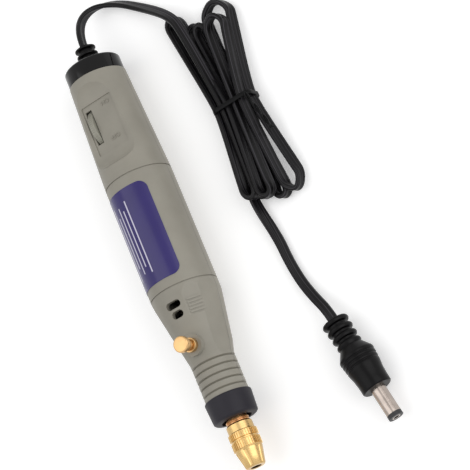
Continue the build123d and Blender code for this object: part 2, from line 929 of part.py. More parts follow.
with BuildPart() as lock_spring:
    spring_bottom = axis_height + bush_bottom + bush_floor + spring_wire_r
    spring_top = axis_height + button_bottom + button_hollow - spring_wire_r
    spring_r = (spring_room_r + stem_r) / 2
    with BuildLine() as coil_line:
        Helix(
            pitch=(spring_top - spring_bottom) / spring_turns,
            height=spring_top - spring_bottom,
            radius=spring_r,
            center=(0, y_at(button_station), spring_bottom),
        )
    with BuildSketch(Plane(origin=coil_line.line @ 0, z_dir=coil_line.line % 0)):
        RegularPolygon(spring_wire_r, spring_wire_sides)
    sweep(is_frenet=True)
save(lock_spring, "lock_spring")

# Speed wheel with the stub that turns the control
wheel_face = -wheel_side + wheel_width / 2
with BuildPart() as speed_wheel:
    wheel_plane = Plane(
        origin=(wheel_face, y_at(wheel_station), axis_height + wheel_height),
        x_dir=(0, 1, 0),
        z_dir=(1, 0, 0),
    )
    with BuildSketch(wheel_plane):
        Circle(wheel_r)
        with PolarLocations(wheel_r, wheel_tooth_count):
            RegularPolygon(wheel_tooth_r, 3, rotation=180, mode=Mode.SUBTRACT)
    extrude(amount=-wheel_width)
    with BuildSketch(wheel_plane):
        Circle(wheel_stub_r)
    extrude(amount=wheel_stub_length)
save(speed_wheel, "speed_wheel")

control_face = wheel_face + free_play
with BuildPart() as speed_control:
    with BuildSketch(Plane.XY.offset(axis_height - control_bottom)):
        with Locations((control_face + control_width / 2, y_at(wheel_station))):
            Rectangle(control_width, control_length)
    extrude(amount=control_bottom + control_top)
    with BuildSketch(Plane(wheel_plane.origin + Vector(free_play, 0, 0), x_dir=(0, 1, 0), z_dir=(1, 0, 0))):
        Circle(wheel_stub_r + running_play)
    extrude(amount=wheel_stub_length, mode=Mode.SUBTRACT)
save(speed_control, "speed_control")

with BuildPart() as circuit_board:
    with BuildSketch(Plane.XY.offset(axis_height + board_bottom)):
        with Locations((0, y_at((board_front + board_rear) / 2))):
            Rectangle(board_width, board_length)
        with Locations((-wheel_side, y_at(wheel_station))):
            Rectangle(wheel_width + 2 * free_play, 2 * wheel_r, mode=Mode.SUBTRACT)
    extrude(amount=board_thickness)
    with BuildSketch(Plane.XY.offset(axis_height - control_bottom)):
        for share in board_part_shares:
            with Locations((control_width, y_at(board_front + share * board_length))):
                Rectangle(board_part_size / 2, board_part_size)
    extrude(amount=board_part_height)
save(circuit_board, "circuit_board")

# The plug lies on its widest ring, turned away from the tool
plug_axis = Vector(math.cos(math.radians(plug_angle)), math.sin(math.radians(plug_angle)), 0)
plug_rear = Vector(plug_rear_x, plug_rear_y, plug_r)
plug_plane = Plane(origin=plug_rear, x_dir=plug_axis, z_dir=(plug_axis.Y, -plug_axis.X, 0))
plug_line = Axis(plug_rear, plug_axis)
ribs_end = (plug_rib_count - 1) * plug_rib_pitch + plug_rib_length
shoulder_end = ribs_end + plug_shoulder_length
grip_end = shoulder_end + plug_grip_length
barrel_front = grip_end + plug_barrel_length
barrel_rear = grip_end - plug_seat
ring_start = barrel_front - plug_ring_length
plug_seat_r = plug_barrel_r - plug_seat_step


def turn_plug(outline):
    """A body turned about the plug's axis from points of distance from its rear and radius."""
    with BuildSketch(plug_plane) as section:
        with BuildLine():
            Polyline(*outline, close=True)
        make_face()
    revolve(section.sketch, axis=plug_line)


rib_outline = []
for number in range(plug_rib_count):
    rib_start = number * plug_rib_pitch
    rib_outline += [
        (rib_start, plug_neck_r),
        (rib_start + plug_rib_edge, plug_rib_r),
        (rib_start + plug_rib_length - plug_rib_edge, plug_rib_r),
        (rib_start + plug_rib_length, plug_neck_r),
    ]

with BuildPart() as plug_body:
    turn_plug(
        [(0, 0)]
        + rib_outline
        + [
            (ribs_end, plug_shoulder_r),
            (shoulder_end, plug_r),
            (grip_end - plug_rib_edge, plug_front_r),
            (grip_end, plug_front_r - plug_rib_edge),
            (grip_end, plug_seat_r),
            (barrel_rear, plug_seat_r),
            (barrel_rear, 0),
        ]
    )
save(plug_body, "plug_body")

with BuildPart() as plug_sleeve:
    turn_plug([
        (barrel_rear, plug_barrel_r - plug_barrel_skin),
        (barrel_rear, plug_seat_r),
        (grip_end, plug_seat_r),
        (grip_end, plug_barrel_r),
        (ring_start, plug_barrel_r),
        (ring_start, plug_barrel_r - plug_barrel_skin),
    ])
save(plug_sleeve, "plug_sleeve")

with BuildPart() as plug_insulator:
    turn_plug([
        (barrel_rear, plug_contact_r),
        (barrel_rear, plug_barrel_r - plug_barrel_skin),
        (ring_start, plug_barrel_r - plug_barrel_skin),
        (ring_start, plug_barrel_r),
        (barrel_front, plug_barrel_r),
        (barrel_front, plug_contact_r),
    ])
save(plug_insulator, "plug_insulator")

with BuildPart() as plug_contact:
    turn_plug([
        (barrel_rear, 0),
        (barrel_rear, plug_contact_r),
        (barrel_front, plug_contact_r),
        (barrel_front, plug_pin_r),
        (barrel_front - plug_pin_depth, plug_pin_r),
        (barrel_front - plug_pin_depth, 0),
    ])
save(plug_contact, "plug_contact")


# The lead
def lead_section(plane):
    """The flat twin lead's outline, on edge, with its corners cut."""
    with BuildSketch(plane) as section:
        Rectangle(lead_thickness, lead_height)
        chamfer(section.vertices(), length=lead_chamfer)
    return section.sketch


def turns_of(points):
    """The angle that a route turns through at each of its inner points, in degrees."""
    runs = [Vector(*end) - Vector(*start) for start, end in zip(points, points[1:])]
    return [first.get_angle(second) for first, second in zip(runs, runs[1:])]


def easy_radii(points):
    """The largest arc that the runs on each side of a point allow."""
    lengths = [(Vector(*end) - Vector(*start)).length for start, end in zip(points, points[1:])]
    return [
        arc_share * min(before, after) / math.tan(math.radians(turn_angle) / 2)
        for before, after, turn_angle in zip(lengths, lengths[1:], turns_of(points))
    ]


def lay_lead(points, radii):
    """A lead swept along straight runs and tangent arcs."""
    with BuildLine() as route:
        FilletPolyline(*points, radius=radii)
    path = Wire(route.line.edges())
    start = Plane(origin=path @ 0, x_dir=Vector(0, 0, 1).cross(path % 0), z_dir=path % 0)
    sweep(lead_section(start), path=path)
    return path


def report_lead(name, line, piece, radii):
    section_area = lead_thickness * lead_height - 2 * lead_chamfer**2
    share = piece.part.volume / (section_area * line.length)
    print(name, "length", round(line.length, 1), "volume over section times length", round(share, 3),
          "least radius", round(min(radii), 2))


# The hank is one unbroken lead: five runs in the upper layer, one that comes down, five below
hank_runs = 2 * hank_columns - 1
lower_layer = hank_lift + lead_height / 2
upper_layer = lower_layer + hank_layer_pitch


def hank_column(run):
    return run if run < hank_columns else 2 * (hank_columns - 1) - run


def hank_point(run, end):
    """A run's place at the top, waist or bottom of the hank, on its layer."""
    column = hank_column(run) - (hank_columns - 1) / 2
    upper = run < hank_columns - 1 or (run == hank_columns - 1 and end == "bottom")
    height = upper_layer if upper else lower_layer
    if run == hank_columns - 1 and end == "waist":
        height = (upper_layer + lower_layer) / 2
    if end == "waist":
        return (hank_x + column * hank_waist_pitch, hank_waist_y, height)
    number = (run - 1) // 2 if end == "top" else run // 2
    if end == "top":
        reach = hank_reach * hank_top_shares[number % len(hank_top_shares)]
        x = hank_x + column * hank_top_pitch + (hank_entry_shift if run == 0 else 0)
        return (x, hank_top_y + hank_top_slope * (x - hank_x) + reach, height)
    reach = hank_reach * hank_bottom_shares[number % len(hank_bottom_shares)]
    x = hank_x + column * hank_bottom_pitch + (hank_exit_shift if run == hank_runs - 1 else 0)
    return (x, hank_bottom_y + hank_bottom_slope * (x - hank_x) - reach, height)


hank_points = []
for run in range(hank_runs):
    ends = ("top", "waist", "bottom") if run % 2 == 0 else ("bottom", "waist", "top")
    hank_points += [hank_point(run, end) for end in ends]
hank_turns = turns_of(hank_points)
hank_radii = []
for index, turn_angle in enumerate(hank_turns):
    place = (index + 1) % 3
    if place == 1:
        hank_radii.append(hank_waist_round)
    else:
        first = index if place == 2 else index - 1
        fold = Vector(*hank_points[first + 2]) - Vector(*hank_points[first + 1])
        spread = sum(math.tan(math.radians(each) / 2) for each in hank_turns[first:first + 2])
        hank_radii.append(fold_share * fold.length / spread)

with BuildPart() as cord_bundle:
    hank_line = lay_lead(hank_points, hank_radii)
save(cord_bundle, "cord_bundle")
report_lead("cord_bundle", hank_line, cord_bundle, hank_radii)


def least_gap(points, skip):
    """The least clear space between turns, measured on points along the lead's middle."""
    gaps = []
    for index, first in enumerate(points):
        for second in points[index + skip:]:
            apart = first - second
            level = math.hypot(apart.X, apart.Y) - lead_thickness
            height = abs(apart.Z) - lead_height
            gaps.append(max(level, height))
    return min(gaps)


sample_count = int(hank_line.length / lead_thickness)
hank_samples = [hank_line @ (number / sample_count) for number in range(sample_count + 1)]
print("cord_bundle least gap to itself", round(least_gap(hank_samples, 2 * int(lead_height)), 2))

# Free lead from the boot to the hank
boot_end = Vector(0, y_at(tool_length + boot_length), axis_height)
hank_start = Vector(*hank_points[0])
hank_in = (Vector(*hank_points[1]) - hank_start).normalized()
entry_points = [
    tuple(boot_end),
    tuple(boot_end + Vector(0, lead_straight + slip_play, 0)),
    *lead_route,
    tuple(hank_start - hank_in * lead_straight),
    tuple(hank_start),
]
with BuildPart() as lead_to_bundle:
    entry_line = lay_lead(entry_points, easy_radii(entry_points))
save(lead_to_bundle, "lead_to_bundle")
report_lead("lead_to_bundle", entry_line, lead_to_bundle, easy_radii(entry_points))

# Free lead from the hank to the plug
hank_end = Vector(*hank_points[-1])
hank_out = (hank_end - Vector(*hank_points[-2])).normalized()
exit_points = [
    tuple(hank_end),
    tuple(hank_end + hank_out * lead_straight),
    *plug_lead_route,
    tuple(plug_rear - plug_axis * lead_straight),
    tuple(plug_rear),
]
with BuildPart() as lead_to_plug:
    exit_line = lay_lead(exit_points, easy_radii(exit_points))
save(lead_to_plug, "lead_to_plug")
report_lead("lead_to_plug", exit_line, lead_to_plug, easy_radii(exit_points))

# The lead's end inside the casing, with its two wires down to the board
tail_end = board_rear + lead_inside
with BuildPart() as lead_tail:
    extrude(lead_section(across(tail_end)), amount=tool_length + boot_length - tail_end)
    for number, side in enumerate((-1, 1)):
        wire_start = Vector(0, y_at(tail_end + wire_r), axis_height + side * lead_height / 4)
        landing = board_rear - (number + 1) * wire_landing / 2
        wire_end = Vector(0, y_at(landing), axis_height - control_bottom + wire_r)
        direction = wire_end - wire_start
        with BuildSketch(Plane(origin=wire_start, z_dir=direction)):
            RegularPolygon(wire_r, wire_sides)
        extrude(amount=direction.length)
save(lead_tail, "lead_tail")

with BuildPart() as motor_leads:
    for side in (-1, 1):
        wire_x = side * terminal_spacing / 2
        above_terminal = axis_height + terminal_thickness / 2 + wire_r
        on_board = axis_height - control_bottom + wire_r
        with BuildLine() as wire_route:
            FilletPolyline(
                (wire_x, y_at(motor_rear + wire_r), above_terminal),
                (wire_x, y_at(motor_rear + terminal_length + wire_slack / 2), above_terminal),
                (wire_x, y_at(board_front), on_board),
                (wire_x, y_at(board_front + wire_landing), on_board),
                radius=wire_slack,
            )
        with BuildSketch(Plane(origin=wire_route.line @ 0, z_dir=wire_route.line % 0)):
            RegularPolygon(wire_r, wire_sides)
        sweep()
save(motor_leads, "motor_leads")

# The tie goes round the waist, with one twisted end left long on top
tie_inner_width = (hank_columns - 1) * hank_waist_pitch + lead_thickness + 2 * tie_side_play
tie_inner_height = hank_layer_pitch + lead_height + 2 * tie_play
tie_middle = (upper_layer + lower_layer) / 2
with BuildPart() as bundle_tie:
    tie_plane = Plane(
        origin=(hank_x, hank_waist_y - tie_width / 2, tie_middle),
        x_dir=(-1, 0, 0),
        z_dir=(0, 1, 0),
    )
    with BuildSketch(tie_plane) as band:
        RectangleRounded(tie_inner_width, tie_inner_height, tie_corner - tie_thickness)
        offset(amount=tie_thickness)
        RectangleRounded(tie_inner_width, tie_inner_height, tie_corner - tie_thickness, mode=Mode.SUBTRACT)
    extrude(band.sketch, amount=tie_width)
    tail_x = hank_x + (tie_inner_width - tie_tail_width) / 2
    with BuildSketch(Plane.XY.offset(tie_middle + tie_inner_height / 2)):
        with Locations(Location((tail_x, hank_waist_y, 0), (0, 0, 1), tie_tail_angle)):
            Rectangle(tie_tail_length, tie_tail_width, align=(Align.MIN, Align.CENTER))
    extrude(amount=tie_thickness)
save(bundle_tie, "bundle_tie")
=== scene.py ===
# %% [markdown]
# # A slim rotary tool with its lead tied in a hank
# The engineering model comes in as a fixed frame of named nodes, all in metres and all in one place.
# This file adds what a photograph shows on top of it: finishes, small rounded pieces and the soft lead.
# The box of the bare model is kept, so that the dressed tool can be measured against it at the end.

# %% Load the frame
import math
import bpy
import bmesh
from mathutils import Matrix, Vector


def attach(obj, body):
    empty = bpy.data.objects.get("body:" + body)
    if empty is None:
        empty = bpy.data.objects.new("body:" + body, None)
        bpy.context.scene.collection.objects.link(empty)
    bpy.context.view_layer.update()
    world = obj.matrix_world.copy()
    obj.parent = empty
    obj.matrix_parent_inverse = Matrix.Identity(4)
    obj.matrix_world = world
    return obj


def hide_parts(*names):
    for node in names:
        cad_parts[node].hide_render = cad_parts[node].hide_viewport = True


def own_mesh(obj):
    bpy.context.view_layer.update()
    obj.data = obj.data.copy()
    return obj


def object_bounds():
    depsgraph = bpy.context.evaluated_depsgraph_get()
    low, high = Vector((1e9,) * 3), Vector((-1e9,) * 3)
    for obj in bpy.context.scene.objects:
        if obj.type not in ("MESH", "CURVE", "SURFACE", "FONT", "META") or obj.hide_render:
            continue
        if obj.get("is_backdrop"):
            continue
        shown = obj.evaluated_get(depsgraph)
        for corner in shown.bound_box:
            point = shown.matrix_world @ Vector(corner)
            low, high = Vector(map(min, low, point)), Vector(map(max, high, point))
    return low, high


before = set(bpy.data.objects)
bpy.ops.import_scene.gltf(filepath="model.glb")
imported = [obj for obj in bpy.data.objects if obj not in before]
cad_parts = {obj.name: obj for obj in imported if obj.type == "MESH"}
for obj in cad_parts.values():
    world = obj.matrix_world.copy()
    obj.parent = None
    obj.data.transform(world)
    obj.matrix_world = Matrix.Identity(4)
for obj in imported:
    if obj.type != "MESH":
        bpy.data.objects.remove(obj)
bare_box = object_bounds()

# %% [markdown]
# ## Places on the tool
# The tool lies along Y with its nose towards -Y. Its maker would give places as stations, counted in
# millimetres back from the tip of the chuck nut, so every piece below is given in the same way.

# %% Stations and the tool's own axis
MM = 0.001
TOOL_LENGTH = 161.5
AXIS_HEIGHT = 12.7
TOOL_CENTRE = (0, 0, AXIS_HEIGHT * MM)


def y_at(station):
    return station - TOOL_LENGTH / 2


def point(x, y, z):
    return Vector((x, y, z)) * MM


def place(origin, along, side):
    """The matrix that stands a piece made up its own Z axis, in millimetres, at its place in metres."""
    along = Vector(along).normalized()
    side = (Vector(side) - along * along.dot(Vector(side))).normalized()
    turned = Matrix((side, along.cross(side), along)).transposed().to_4x4()
    return Matrix.Translation(point(*origin)) @ turned @ Matrix.Scale(MM, 4)


ON_TOOL = place((0, y_at(0), AXIS_HEIGHT), (0, 1, 0), (0, 0, 1))
print("tip at", [round(value, 5) for value in ON_TOOL.translation])

# %% [markdown]
# ## The camera
# The photograph looks down on the tool from its right-hand side and a little from the nose. A long
# lens from 750 mm away keeps the sides nearly parallel, as a product photographer would have it, and
# the camera is rolled so that the tool stands steeply in the frame.

# %% Camera
CAMERA_AZIMUTH = 25.0
CAMERA_TILT = 17.0
CAMERA_ROLL = 22.875
CAMERA_DISTANCE = 750.0
CAMERA_LENS = 163.48
CAMERA_TARGET = (26.952, -4.048, 12.849)

azimuth = math.radians(CAMERA_AZIMUTH)
tilt = math.radians(CAMERA_TILT)
roll = math.radians(CAMERA_ROLL)
towards_camera = Vector((
    math.cos(tilt) * math.sin(azimuth), -math.sin(tilt), math.cos(tilt) * math.cos(azimuth)))
tool_up = Vector((0, 1, 0))
tool_up = (tool_up - towards_camera * tool_up.dot(towards_camera)).normalized()
tool_right = tool_up.cross(towards_camera)
frame_right = tool_right * math.cos(roll) - tool_up * math.sin(roll)
frame_up = tool_right * math.sin(roll) + tool_up * math.cos(roll)

camera_data = bpy.data.cameras.new("camera")
camera_data.lens = CAMERA_LENS
camera_data.sensor_width = 36.0
camera_data.clip_start = 0.05
camera_data.clip_end = 20.0
camera = bpy.data.objects.new("camera", camera_data)
bpy.context.scene.collection.objects.link(camera)
camera.matrix_world = (
    Matrix.Translation(point(*CAMERA_TARGET) + towards_camera * CAMERA_DISTANCE * MM)
    @ Matrix((frame_right, frame_up, towards_camera)).transposed().to_4x4()
)
bpy.context.scene.camera = camera
print("camera at", [round(value, 3) for value in camera.matrix_world.translation])

# %% [markdown]
# ## Shader sums in plain Python
# A finish is a small graph of nodes. Written node by node it hides what it does, so one class wraps a
# socket and lets sums be written as sums, and another adds any other node by its type. What is the
# same all over a surface is set on the shader itself, and only what varies comes in through a link.

# %% Helpers for finishes
class Wire:
    """The value that a socket carries inside one finish."""

    def __init__(self, finish, socket):
        self.finish = finish
        self.socket = socket

    def sum(self, operation, *values):
        return self.finish.add("ShaderNodeMath", {"operation": operation}, dict(enumerate(values)))

    def __add__(self, other):
        return self.sum("ADD", self, other)

    def __sub__(self, other):
        return self.sum("SUBTRACT", self, other)

    def __rsub__(self, other):
        return self.sum("SUBTRACT", other, self)

    def __mul__(self, other):
        return self.sum("MULTIPLY", self, other)

    def __abs__(self):
        return self.sum("ABSOLUTE", self)

    __radd__ = __add__
    __rmul__ = __mul__


class Finish:
    """One material: a shader with its constants, and the nodes that vary it."""

    def __init__(self, name, colour, roughness, **constants):
        self.material = bpy.data.materials.new(name)
        self.material.use_nodes = True
        self.tree = self.material.node_tree
        self.shader = self.tree.nodes["Principled BSDF"]
        self.shader.inputs["Base Color"].default_value = (*colour, 1)
        self.shader.inputs["Roughness"].default_value = roughness
        for socket, value in constants.items():
            self.shader.inputs[socket.replace("_", " ").title().replace("Ior", "IOR")].default_value = value
        self.material.diffuse_color = (*colour, 1)

    def add(self, kind, settings=None, values=None, out=0):
        """Any node: its type, its settings, then the values or links of its sockets."""
        node = self.tree.nodes.new(kind)
        for name, value in (settings or {}).items():
            setattr(node, name, value)
        for key, value in (values or {}).items():
            if isinstance(value, Wire):
                self.tree.links.new(value.socket, node.inputs[key])
            else:
                node.inputs[key].default_value = value
        return Wire(self, node.outputs[out])

    def feed(self, socket, wire):
        self.tree.links.new(wire.socket, self.shader.inputs[socket])

    def where(self, centre=(0, 0, 0), turn=(0, 0, 0), scale=(1, 1, 1)):
        """Object coordinates, moved so that centre is zero, then turned and scaled."""
        coordinates = self.add("ShaderNodeTexCoord", out="Object")
        centred = self.add("ShaderNodeVectorMath", {"operation": "SUBTRACT"}, {0: coordinates, 1: centre})
        return self.add("ShaderNodeMapping", values={"Vector": centred, "Rotation": turn, "Scale": scale})

    def axis(self, vector, name):
        return self.add("ShaderNodeSeparateXYZ", values={0: vector}, out=name)

    def noise(self, size, detail=2.0, vector=None, roughness=0.5):
        """Mottling whose blotches are about size millimetres across."""
        vector = vector or self.where()
        values = {"Vector": vector, "Scale": 1 / (size * MM), "Detail": detail, "Roughness": roughness}
        return self.add("ShaderNodeTexNoise", values=values, out="Fac")

    def spread(self, wire, low, high, to_low=0.0, to_high=1.0):
        values = {0: wire, 1: low, 2: high, 3: to_low, 4: to_high}
        return self.add("ShaderNodeMapRange", {"clamp": True}, values)

    def mix(self, share, first, second):
        """A colour between two, each one a link or three numbers."""
        first, second = (each if isinstance(each, Wire) else (*each, 1) for each in (first, second))
        return self.add("ShaderNodeMix", {"data_type": "RGBA"}, {0: share, 6: first, 7: second}, out=2)

    def relief(self, height, depth, before=None):
        """A bump of depth millimetres for a height that runs from 0 to 1."""
        values = {"Height": height, "Distance": depth * MM, "Strength": 1.0}
        if before:
            values["Normal"] = before
        return self.add("ShaderNodeBump", values=values)


def shade(colour, share):
    """The same colour, darker below a share of 1 and lighter above."""
    return tuple(min(1.0, channel * share) for channel in colour)


def srgb(red, green, blue):
    """A colour read off as 0 to 255, in the linear numbers that a shader takes."""
    return tuple(((each / 255 + 0.055) / 1.055) ** 2.4 for each in (red, green, blue))

# %% [markdown]
# ## Moulded plastics
# A moulded part takes the skin of its mould. The casing's mould is spark-eroded, which leaves a fine
# even pebble and a satin sheen; the caps' mould is polished. The two halves of the casing meet in a
# hairline joint at the height of the axis, and that joint is darkened and let in as a shallow groove.

# %% Moulded finishes
CASING_COLOUR = srgb(139, 135, 124)
PARTING_HALF = 0.22
BLACK = srgb(8, 7, 7)


def moulded(name, colour, roughness, pebble, depth, **constants):
    """A moulded plastic: soft mottling in the colour, a pebbled skin and a roughness that wanders."""
    finish = Finish(name, colour, roughness, **constants)
    cloud = finish.noise(9.0, 3.0)
    skin = finish.noise(pebble, 3.0, roughness=0.6)
    finish.tint = finish.mix(finish.spread(cloud, 0.3, 0.7), shade(colour, 0.94), shade(colour, 1.06))
    finish.feed("Roughness", finish.spread(skin, 0.25, 0.75, roughness * 0.88, min(1.0, roughness * 1.12)))
    finish.bump = finish.relief(skin, depth)
    finish.feed("Base Color", finish.tint)
    finish.feed("Normal", finish.bump)
    return finish


casing = moulded("satin_casing", CASING_COLOUR, 0.5, 0.35, 0.012)
height = casing.axis(casing.where(TOOL_CENTRE), "Z")
parting = casing.spread(abs(height), 0.0, PARTING_HALF * MM, 1.0, 0.0)
casing.feed("Base Color", casing.mix(parting * 0.6, casing.tint, shade(CASING_COLOUR, 0.35)))
casing.feed("Normal", casing.relief(1 - parting, 0.15, casing.bump))

gloss_black = moulded("gloss_cap", BLACK, 0.12, 1.6, 0.004, specular_ior_level=0.22)
matt_ring = moulded("matt_ring", srgb(36, 34, 41), 0.5, 0.3, 0.02, specular_ior_level=0.22)
boot_rubber = moulded("boot_rubber", srgb(9, 8, 9), 0.32, 0.5, 0.01, specular_ior_level=0.14)
plug_rubber = moulded("plug_rubber", srgb(9, 8, 9), 0.3, 0.45, 0.012, specular_ior_level=0.12)
inner_plastic = moulded("inner_plastic", srgb(24, 24, 26), 0.5, 0.4, 0.01)
wheel_plastic = moulded("wheel_plastic", srgb(148, 146, 134), 0.42, 0.4, 0.01)
tie_plastic = moulded("tie_plastic", srgb(7, 7, 8), 0.35, 0.6, 0.01, specular_ior_level=0.1)
print("moulded finishes", [each.name for each in bpy.data.materials])

# %% [markdown]
# ## Metals
# Turned brass and steel carry fine rings from the cutting tool. The rings are noise that changes fast
# along the part's axis and hardly at all across it, so that it runs round the part, and they move the
# roughness and the bump. Plated and ground parts use the same graph with a lower roughness.

# %% Metal finishes
def turned(name, colour, roughness, along, centre, ring=0.22, depth=0.006):
    """A turned metal: rings round an axis, and a slow drift in its colour."""
    finish = Finish(name, colour, roughness, metallic=1.0)
    squeeze = tuple(1.0 if each else 0.02 for each in along)
    rings = finish.noise(ring, 2.0, finish.where(centre, scale=squeeze))
    cloud = finish.noise(3.0, 2.0)
    tarnish = finish.spread(cloud, 0.3, 0.7)
    finish.feed("Base Color", finish.mix(tarnish, shade(colour, 0.88), shade(colour, 1.08)))
    finish.feed("Roughness", finish.spread(rings, 0.3, 0.7, roughness * 0.75, roughness * 1.3))
    finish.feed("Normal", finish.relief(rings, depth))
    return finish


BUTTON_STATION = 46.5
BUTTON_CENTRE = (0, y_at(BUTTON_STATION) * MM, 0)
brass = turned("turned_brass", srgb(208, 175, 118), 0.28, (0, 1, 0), TOOL_CENTRE)
button_brass = turned("button_brass", srgb(207, 169, 118), 0.34, (0, 0, 1), BUTTON_CENTRE)
thread_bronze = turned("thread_bronze", srgb(220, 174, 124), 0.28, (0, 1, 0), TOOL_CENTRE)
steel = turned("turned_steel", srgb(170, 168, 162), 0.3, (0, 1, 0), TOOL_CENTRE)
bearing_steel = turned("bearing_steel", srgb(188, 188, 186), 0.18, (0, 1, 0), TOOL_CENTRE)
can_steel = turned("motor_can_steel", srgb(160, 162, 164), 0.36, (0, 1, 0), TOOL_CENTRE, 0.5)
copper = turned("winding_copper", srgb(190, 108, 62), 0.35, (0, 1, 0), TOOL_CENTRE, 0.35, 0.05)
magnet_grey = turned("magnet_grey", srgb(78, 76, 74), 0.55, (0, 1, 0), TOOL_CENTRE, 0.6)
spring_steel = turned("spring_steel", srgb(196, 194, 188), 0.25, (0, 0, 1), BUTTON_CENTRE)
PLUG_REAR = (46.1, -47.2, 6.7)
PLUG_ALONG = (0.173648, -0.984808, 0.0)
nickel = turned("plug_nickel", srgb(168, 157, 149), 0.2, (0, 1, 0), tuple(point(*PLUG_REAR)))
screw_steel = turned("screw_steel", srgb(120, 120, 122), 0.32, (0, 0, 1), (0, 0, 0))
print("metals", len(bpy.data.materials))

# %% [markdown]
# ## Board, label and lead
# The circuit board has a green mask over its tracks. The label is a gloss foil in a deep violet blue
# with plain pale pinstripes. They could be thin pieces laid on it, but as bands of one angle round the
# axis they need no shape and bend with the foil. The lead is drawn vinyl, so its fine ridges run along
# its length, which its own map gives; pale lines painted along those ridges stand in for their highlights.

# %% Board, label and lead finishes
board_green = moulded("board_green", srgb(30, 84, 52), 0.4, 0.8, 0.01)
LABEL_BLUE = srgb(40, 29, 98)
label_foil = moulded("label_foil", LABEL_BLUE, 0.22, 1.2, 0.003, specular_ior_level=0.4)
about = label_foil.where(TOOL_CENTRE)
round_angle = label_foil.add("ShaderNodeMath", {"operation": "ARCTAN2"}, {
    0: label_foil.axis(about, "X"), 1: label_foil.axis(about, "Z")})
along_label = label_foil.axis(about, "Y")
LABEL_MIDDLE = y_at(90.5) * MM
# Each pinstripe's place round the barrel, in degrees from the top, and half its length in millimetres
PINSTRIPES = ((-58, 12.0), (-47, 14.5), (-37, 10.0), (-28, 13.0), (-19, 11.0), (-10, 14.0))
stripes = 0
for angle, half_length in PINSTRIPES:
    line = label_foil.spread(abs(round_angle - math.radians(angle)), 0.016, 0.026, 1.0, 0.0)
    from_middle = abs(along_label - LABEL_MIDDLE)
    ends = label_foil.spread(from_middle, half_length * MM, (half_length + 0.2) * MM, 1.0, 0.0)
    stripes = line * ends + stripes
label_foil.feed("Base Color", label_foil.mix(stripes * 0.9, label_foil.tint, srgb(214, 210, 228)))

# The lead's own map runs along it in U and round it in V, so lines of constant V lie along the lead
VINYL_BLACK = srgb(12, 11, 12)
lead_vinyl = Finish("lead_vinyl", VINYL_BLACK, 0.3, specular_ior_level=0.16)
lead_map = lead_vinyl.add("ShaderNodeTexCoord", out="UV")
drawn = lead_vinyl.add("ShaderNodeMapping", values={"Vector": lead_map, "Scale": (4.0, 34.0, 1.0)})
# Noise of fine lines along the lead: real ridges in roughness and bump, painted highlights in the colour
ridges_and_painted_highlights = lead_vinyl.add(
    "ShaderNodeTexNoise", values={"Vector": drawn, "Scale": 1.0, "Detail": 1.0}, out="Fac")
vinyl_cloud = lead_vinyl.noise(5.0, 2.0)
# Painted highlights: the pale lines in the lead's colour stand in for the light that its ridges catch
lead_vinyl.feed("Base Color", lead_vinyl.mix(
    lead_vinyl.spread(ridges_and_painted_highlights, 0.52, 0.68), VINYL_BLACK, srgb(66, 64, 69)))
lead_vinyl.feed("Roughness", lead_vinyl.spread(vinyl_cloud + ridges_and_painted_highlights, 0.7, 1.3, 0.24, 0.4))
lead_vinyl.feed("Normal", lead_vinyl.relief(ridges_and_painted_highlights, 0.08))
print("finishes", len(bpy.data.materials))

# %% [markdown]
# ## Give every node its finish
# A node keeps its mesh, and only the finish in its slot changes. Each node could be given its finish by
# hand, but one table from finish to nodes shows what is made of what, and the count that it prints
# shows whether a node was left out.

# %% Finishes on the nodes
NODE_FINISH = {
    casing: "upper_shell lower_shell",
    gloss_black: "rear_cap",
    matt_ring: "nose_ring",
    boot_rubber: "cable_boot",
    plug_rubber: "plug_body",
    inner_plastic: "motor_end_cap speed_control plug_insulator",
    wheel_plastic: "speed_wheel",
    tie_plastic: "bundle_tie",
    brass: "chuck_nut lock_bush terminals",
    button_brass: "lock_button",
    steel: "collet lock_collar motor_shaft armature_core lock_clip coupling",
    thread_bronze: "spindle",
    bearing_steel: (
        "front_bearing_outer front_bearing_inner front_bearing_balls"
        " rear_bearing_outer rear_bearing_inner rear_bearing_balls"
    ),
    can_steel: "motor_can",
    copper: "windings commutator",
    magnet_grey: "magnets brushes",
    spring_steel: "lock_spring",
    nickel: "plug_sleeve plug_contact",
    screw_steel: "case_screws",
    board_green: "circuit_board",
    label_foil: "label",
    lead_vinyl: "lead_to_bundle cord_bundle lead_to_plug lead_tail motor_leads",
}
dressed = 0
for finish, names in NODE_FINISH.items():
    for name in names.split():
        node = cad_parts[name]
        node.data.materials.clear()
        node.data.materials.append(finish.material)
        dressed += 1
print("dressed", dressed, "of", len(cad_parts))

# %% [markdown]
# ## The lead
# The lead is one length of flat twin flex, about 0.95 m from the boot to the plug, and the photograph
# shows all of it. It drops from the boot, runs into a hank that is tied round its waist, and leaves it
# for the plug. One smooth spline goes through all of that. In the hank it stands on edge, as a folded
# flat flex does, and it lies down flat on its way to the plug.

# %% The lead's route
LEAD_WIDTH = 4.0
LEAD_STRAIGHT = 5.0
HANK_WAIST_Y = 41.0
WAIST_HALF = 4.0
FOLD_REACH = 4.9
